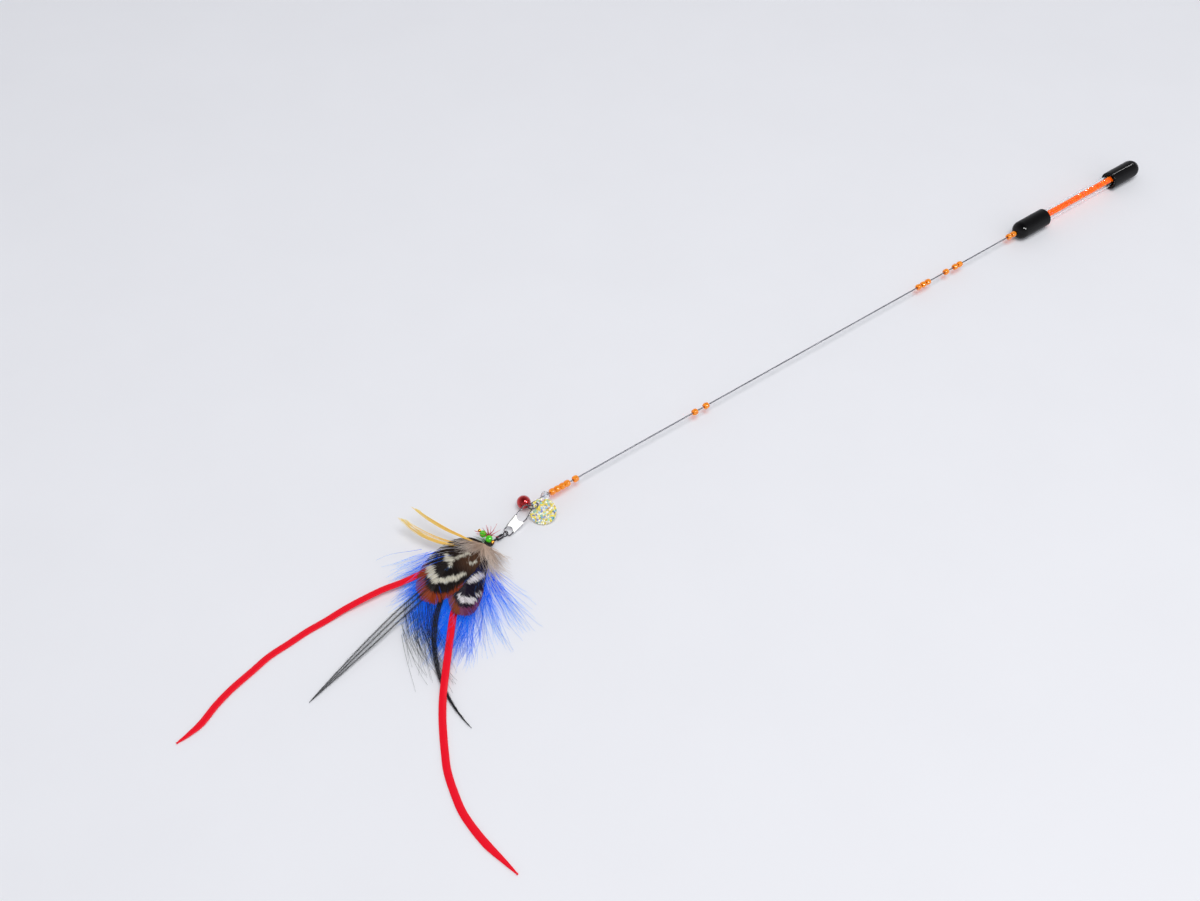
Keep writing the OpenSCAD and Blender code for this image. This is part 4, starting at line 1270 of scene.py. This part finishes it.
# Ribbons: the same routes as in the model's source, in metres
SIDE_ROUTE = np.array([
    [-541.5, -8, -4.7], [-546, -8, -4.1], [-552, -7, -2.9], [-560, -6, -2.9], [-570, -4, -2.9],
    [-580, -3, -2.9], [-590, -2, -2.9], [-601, 0, -2.9], [-613, 1, -3.1], [-624, 2, -4.4],
    [-635, 2, -5.4], [-646, 2, -5.6], [-657, 1, -5.6], [-669, 0, -5.6], [-681, -3, -5.6],
    [-693, -6, -5.6], [-704, -10, -5.6], [-714, -15, -5.6], [-722, -17, -5.6], [-729, -18, -5.6],
]) * MM
FRONT_ROUTE = np.array([
    [-541.5, -8, -3.8], [-545, -10, -3.2], [-549, -13, -2.3], [-556, -18, -2.1], [-564, -23, -2.4],
    [-571, -29, -2.9], [-578, -35, -2.9], [-586, -45, -2.9], [-593, -54, -2.9], [-600, -63, -3.1],
    [-607, -72, -4.6], [-613, -81, -5.6], [-618, -90, -5.6], [-623, -100, -5.6], [-627, -109, -5.6],
    [-630, -120, -5.6], [-632, -131, -5.6], [-632, -142, -5.6], [-631, -152, -5.6], [-629, -162, -5.6],
    [-627, -172, -5.6],
]) * MM
# The strip's section: shares of its half width and of its thickness
RIBBON_SECTION = (
    (-1.0, 0.0), (-0.92, 0.5), (0.0, 0.62), (0.92, 0.5),
    (1.0, 0.0), (0.92, -0.5), (0.0, -0.38), (-0.92, -0.5),
)


def ribbon_strip(name, route, width, cad_node):
    """A flat strip with softly rounded edges, a little cupped, that ends in a torn point."""
    path = smooth_path(route, 6)
    count = len(path)
    length = path_length(path)
    thick = 0.32 * MM
    shares = np.linspace(0, 1, count)
    taper = np.clip((1 - shares) / 0.1, 0.1, 1) ** 0.6
    taper = taper * np.clip(0.55 + shares / 0.12, 0, 1)
    ways = np.gradient(path, axis=0)
    ways /= np.linalg.norm(ways, axis=1)[:, None]
    points, corners = [], []
    for k in range(count):
        left = unit(np.cross(UP, ways[k]))
        over = np.cross(ways[k], left)
        half = width / 2 * taper[k]
        for across, high in RIBBON_SECTION:
            points.append(path[k] + left * across * half + over * high * thick)
            corners.append((shares[k] * length / width, across * 0.5 + 0.5))
    sides = len(RIBBON_SECTION)
    faces = []
    for k in range(count - 1):
        for j in range(sides):
            a, b = k * sides + j, k * sides + (j + 1) % sides
            faces.append((a, b, b + sides, a + sides))
    faces.append(tuple(reversed(range(sides))))
    faces.append(tuple((count - 1) * sides + j for j in range(sides)))
    piece = mesh_object(name, points, faces, "ribbon")
    outward(piece)
    layer = piece.data.uv_layers.new(name="strip")
    for loop in piece.data.loops:
        layer.data[loop.index].uv = corners[loop.vertex_index]
    stand_in(piece, LURE, "red_ribbon", cad_node)


# Stage
CAMERA_AT = Vector((-0.7277, -0.3791, 0.588))
CAMERA_AHEAD = Vector((0.3651, 0.5126, -0.7771))
CAMERA_RIGHT = Vector((0.8145, -0.5802, 0.0))
LENS = 39.0
SENSOR = 36.0


def soft_light(name, at, target, size, power, gloss_alone=True):
    """A softbox; the big one lights the room, and the others show in gloss and light nothing."""
    lamp = bpy.data.lights.new(name, "AREA")
    lamp.shape = "RECTANGLE"
    lamp.size, lamp.size_y = size
    lamp.energy = power
    made = bpy.data.objects.new(name, lamp)
    made.visible_diffuse = not gloss_alone
    made.visible_glossy = gloss_alone
    made.location = at
    made.rotation_euler = (Vector(target) - Vector(at)).to_track_quat("-Z", "Y").to_euler()
    bpy.context.scene.collection.objects.link(made)


def build_stage(looks):
    scene = bpy.context.scene
    reach = 4.0
    corners = [(x * reach, y * reach, FLOOR_Z) for x, y in ((-1, -1), (1, -1), (1, 1), (-1, 1))]
    mesh_object("table_top", corners, [(0, 1, 2, 3)], "table")

    # The room is bright near the horizon and dim overhead, so that gloss has something to show
    world = bpy.data.worlds.new("studio")
    world.use_nodes = True
    tree = world.node_tree
    way = output(tree, "ShaderNodeTexCoord", "Generated")
    height = output(tree, "ShaderNodeSeparateXYZ", "Z", {"Vector": way})
    glow = ramp(tree, height, [(0.0, (1.0, 1.02, 1.08, 1)), (1.0, (0.14, 0.14, 0.15, 1))])
    tree.links.new(glow, tree.nodes["Background"].inputs["Color"])
    tree.nodes["Background"].inputs["Strength"].default_value = looks.world_strength
    scene.world = world

    middle = (-0.35, 0.0, 0.0)
    power = looks.window_power
    soft_light("top_softbox", (-0.45, -0.45, 2.2), middle, (1.6, 1.2), looks.top_power, gloss_alone=False)
    # Two small boxes for the front cap's gloss and a narrow one for the rear cap's
    soft_light("left_window", (-0.22, -0.82, 1.25), middle, (0.26, 0.3), power)
    soft_light("right_window", (0.24, -1.08, 0.96), middle, (0.26, 0.3), power)
    soft_light("rear_window", (1.07, 0.24, 1.02), (0, 0, 0), (0.5, 0.01), power * 0.06)

    camera = bpy.data.cameras.new("photo_camera")
    camera.lens = LENS
    camera.sensor_width = SENSOR
    camera.clip_start = 0.01
    made = bpy.data.objects.new("photo_camera", camera)
    scene.collection.objects.link(made)
    right = CAMERA_RIGHT.normalized()
    ahead = CAMERA_AHEAD.normalized()
    turned = Matrix((right, right.cross(ahead), -ahead)).transposed().to_4x4()
    made.matrix_world = Matrix.Translation(CAMERA_AT) @ turned
    scene.camera = made
    scene.view_settings.view_transform = "Standard"


# Settings that a user would change
def colour_setting(name, description, colour):
    return FloatVectorProperty(
        name=name, description=description, subtype="COLOR", size=len(colour), min=0, max=1,
        default=tuple(colour),
    )


def length_setting(name, description, default, least, greatest):
    return FloatProperty(
        name=name, description=description, default=default * MM, min=least * MM, max=greatest * MM,
        subtype="DISTANCE", unit="LENGTH", precision=5,
    )


def count_setting(name, description, default, least, greatest):
    return IntProperty(name=name, description=description, default=default, min=least, max=greatest)


class WandLooks(bpy.types.PropertyGroup):
    """Sizes and colours of the wand."""

    cap_colour: colour_setting("Cap colour", "Rubber of the two dome caps", (0.0015, 0.0013, 0.0016, 1.0))
    fill_colour: colour_setting("Fill colour", "Tiny beads in the handle", linear(255, 116, 0))
    bell_colour: colour_setting("Bell colour", "Lacquer of the bell", rgba(190, 0, 14))
    ribbon_colour: colour_setting("Ribbon colour", "Both ribbon strips", rgba(255, 0, 36))
    marabou_root: colour_setting("Marabou root", "Blue down near the tie", linear(0, 104, 255))
    marabou_tip: colour_setting("Marabou tip", "Blue down at its tips", linear(64, 172, 255))
    table_colour: colour_setting("Table colour", "Surface under the wand", (0.87, 0.875, 0.905, 1.0))
    fill_bead: length_setting("Fill bead", "Outer diameter of a tiny bead in the handle", 1.35, 0.8, 2)
    sequin_cell: length_setting("Sequin cell", "Width of a cell of the sequin's mosaic", 1.1, 0.3, 3)
    ribbon_width: length_setting("Ribbon width", "Width of a ribbon strip", 4, 2, 6)
    plumes: count_setting("Plumes", "Quills in the marabou fan", 46, 5, 60)
    plume_barbs: count_setting("Barbs", "Soft barbs on each marabou quill", 96, 20, 200)
    down_hairs: count_setting("Down hairs", "Hairs in the grey tuft", 760, 100, 3000)
    seed: count_setting("Seed", "Start of the random draws", 7, 0, 9999)
    world_strength: FloatProperty(name="Room light", description="Light from all round", default=0.95, min=0)
    window_power: FloatProperty(
        name="Window light", description="Power of each box that shows only in gloss", default=15.0, min=0,
        unit="POWER",
    )
    top_power: FloatProperty(
        name="Top light", description="Power of the overhead softbox", default=30.0, min=0, unit="POWER"
    )


# Each operator makes one piece or one group of like pieces
class WAND_OT_finishes(bpy.types.Operator):
    """Make every finish that the pieces share"""

    bl_idname = "wand.finishes"
    bl_label = "Finishes"

    def execute(self, context):
        make_finishes(context.scene.wand_looks)
        return {"FINISHED"}


class WAND_OT_stage(bpy.types.Operator):
    """Set up the table, the lights and the camera"""

    bl_idname = "wand.stage"
    bl_label = "Stage"

    def execute(self, context):
        build_stage(context.scene.wand_looks)
        return {"FINISHED"}


class WAND_OT_ribbons(bpy.types.Operator):
    """Lay the two red ribbon strips"""

    bl_idname = "wand.ribbons"
    bl_label = "Ribbons"

    def execute(self, context):
        width = context.scene.wand_looks.ribbon_width
        ribbon_strip("side_red_ribbon", SIDE_ROUTE, width, "side_ribbon")
        ribbon_strip("front_red_ribbon", FRONT_ROUTE, width, "front_ribbon")
        return {"FINISHED"}


class WAND_OT_handle(bpy.types.Operator):
    """Finish the caps, the clear tubes, the plug and the wire"""

    bl_idname = "wand.handle"
    bl_label = "Handle"

    def execute(self, context):
        dress("cap", "front_cap", "rear_cap")
        dress("tube", "grip_tube")
        dress("liner", "bead_liner")
        dress("plug", "wire_plug")
        dress("wire", "main_wire", "wire_end_loop")
        return {"FINISHED"}


class WAND_OT_fill(bpy.types.Operator):
    """Fill the liner with tiny beads"""

    bl_idname = "wand.fill"
    bl_label = "Bead fill"

    def execute(self, context):
        build_fill(context.scene.wand_looks)
        return {"FINISHED"}


class WAND_OT_wire_beads(bpy.types.Operator):
    """String the loose beads and cut the crystal"""

    bl_idname = "wand.wire_beads"
    bl_label = "Wire beads"

    def execute(self, context):
        build_wire_beads()
        build_crystal()
        return {"FINISHED"}


class WAND_OT_charms(bpy.types.Operator):
    """Finish the bell, its ball and the sequin"""

    bl_idname = "wand.charms"
    bl_label = "Bell and sequin"

    def execute(self, context):
        dress("bell", "bell_shell")
        dress("pea", "bell_ball")
        dress("sequin", "sequin")
        return {"FINISHED"}


class WAND_OT_snap_swivel(bpy.types.Operator):
    """Finish the snap and the swivel"""

    bl_idname = "wand.snap_swivel"
    bl_label = "Snap and swivel"

    def execute(self, context):
        stand_in(smooth_copy("snap_wire_loop", "snap_wire", "snap"), "snap", "snap_steel", "snap_wire_loop")
        dress("plate", "snap_plate")
        dress("swivel", "swivel_upper_eye", "swivel_barrel", "swivel_lower_eye")
        return {"FINISHED"}


class WAND_OT_head(bpy.types.Operator):
    """Wind the head and tie its beads and threads"""

    bl_idname = "wand.head"
    bl_label = "Lure head"

    def execute(self, context):
        build_head(context.scene.wand_looks)
        return {"FINISHED"}


class WAND_OT_spotted(bpy.types.Operator):
    """Grow the two spotted feathers"""

    bl_idname = "wand.spotted"
    bl_label = "Spotted feathers"

    def execute(self, context):
        build_spotted_feathers(context.scene.wand_looks)
        return {"FINISHED"}


class WAND_OT_crests(bpy.types.Operator):
    """Grow the two golden sprays"""

    bl_idname = "wand.crests"
    bl_label = "Golden crests"

    def execute(self, context):
        build_crests(context.scene.wand_looks)
        return {"FINISHED"}


class WAND_OT_hackles(bpy.types.Operator):
    """Grow the two long dark hackles"""

    bl_idname = "wand.hackles"
    bl_label = "Dark hackles"

    def execute(self, context):
        build_hackles(context.scene.wand_looks)
        return {"FINISHED"}


class WAND_OT_marabou(bpy.types.Operator):
    """Grow the blue marabou fan"""

    bl_idname = "wand.marabou"
    bl_label = "Marabou"

    def execute(self, context):
        build_marabou(context.scene.wand_looks)
        return {"FINISHED"}


class WAND_OT_down(bpy.types.Operator):
    """Grow the grey down tuft"""

    bl_idname = "wand.down"
    bl_label = "Down"

    def execute(self, context):
        build_down(context.scene.wand_looks)
        return {"FINISHED"}


OPERATORS = (
    WAND_OT_finishes, WAND_OT_stage, WAND_OT_ribbons, WAND_OT_handle, WAND_OT_fill, WAND_OT_wire_beads,
    WAND_OT_charms, WAND_OT_snap_swivel, WAND_OT_head, WAND_OT_spotted, WAND_OT_crests, WAND_OT_hackles,
    WAND_OT_marabou, WAND_OT_down,
)


class WAND_PT_looks(bpy.types.Panel):
    """Lists the wand's settings and the steps that make it."""

    bl_label = "Teaser Wand"
    bl_idname = "WAND_PT_looks"
    bl_space_type = "VIEW_3D"
    bl_region_type = "UI"
    bl_category = "Wand"

    def draw(self, context):
        looks = context.scene.wand_looks
        for name in WandLooks.__annotations__:
            self.layout.prop(looks, name)
        for operator in OPERATORS:
            self.layout.operator(operator.bl_idname)


CLASSES = (WandLooks, *OPERATORS, WAND_PT_looks)


def register():
    for one in CLASSES:
        bpy.utils.register_class(one)
    bpy.types.Scene.wand_looks = PointerProperty(type=WandLooks)


def unregister():
    del bpy.types.Scene.wand_looks
    for one in reversed(CLASSES):
        bpy.utils.unregister_class(one)


def main():
    register()
    for operator in OPERATORS:
        getattr(bpy.ops.wand, operator.bl_idname.split(".")[1])()


if __name__ == "__main__":
    main()
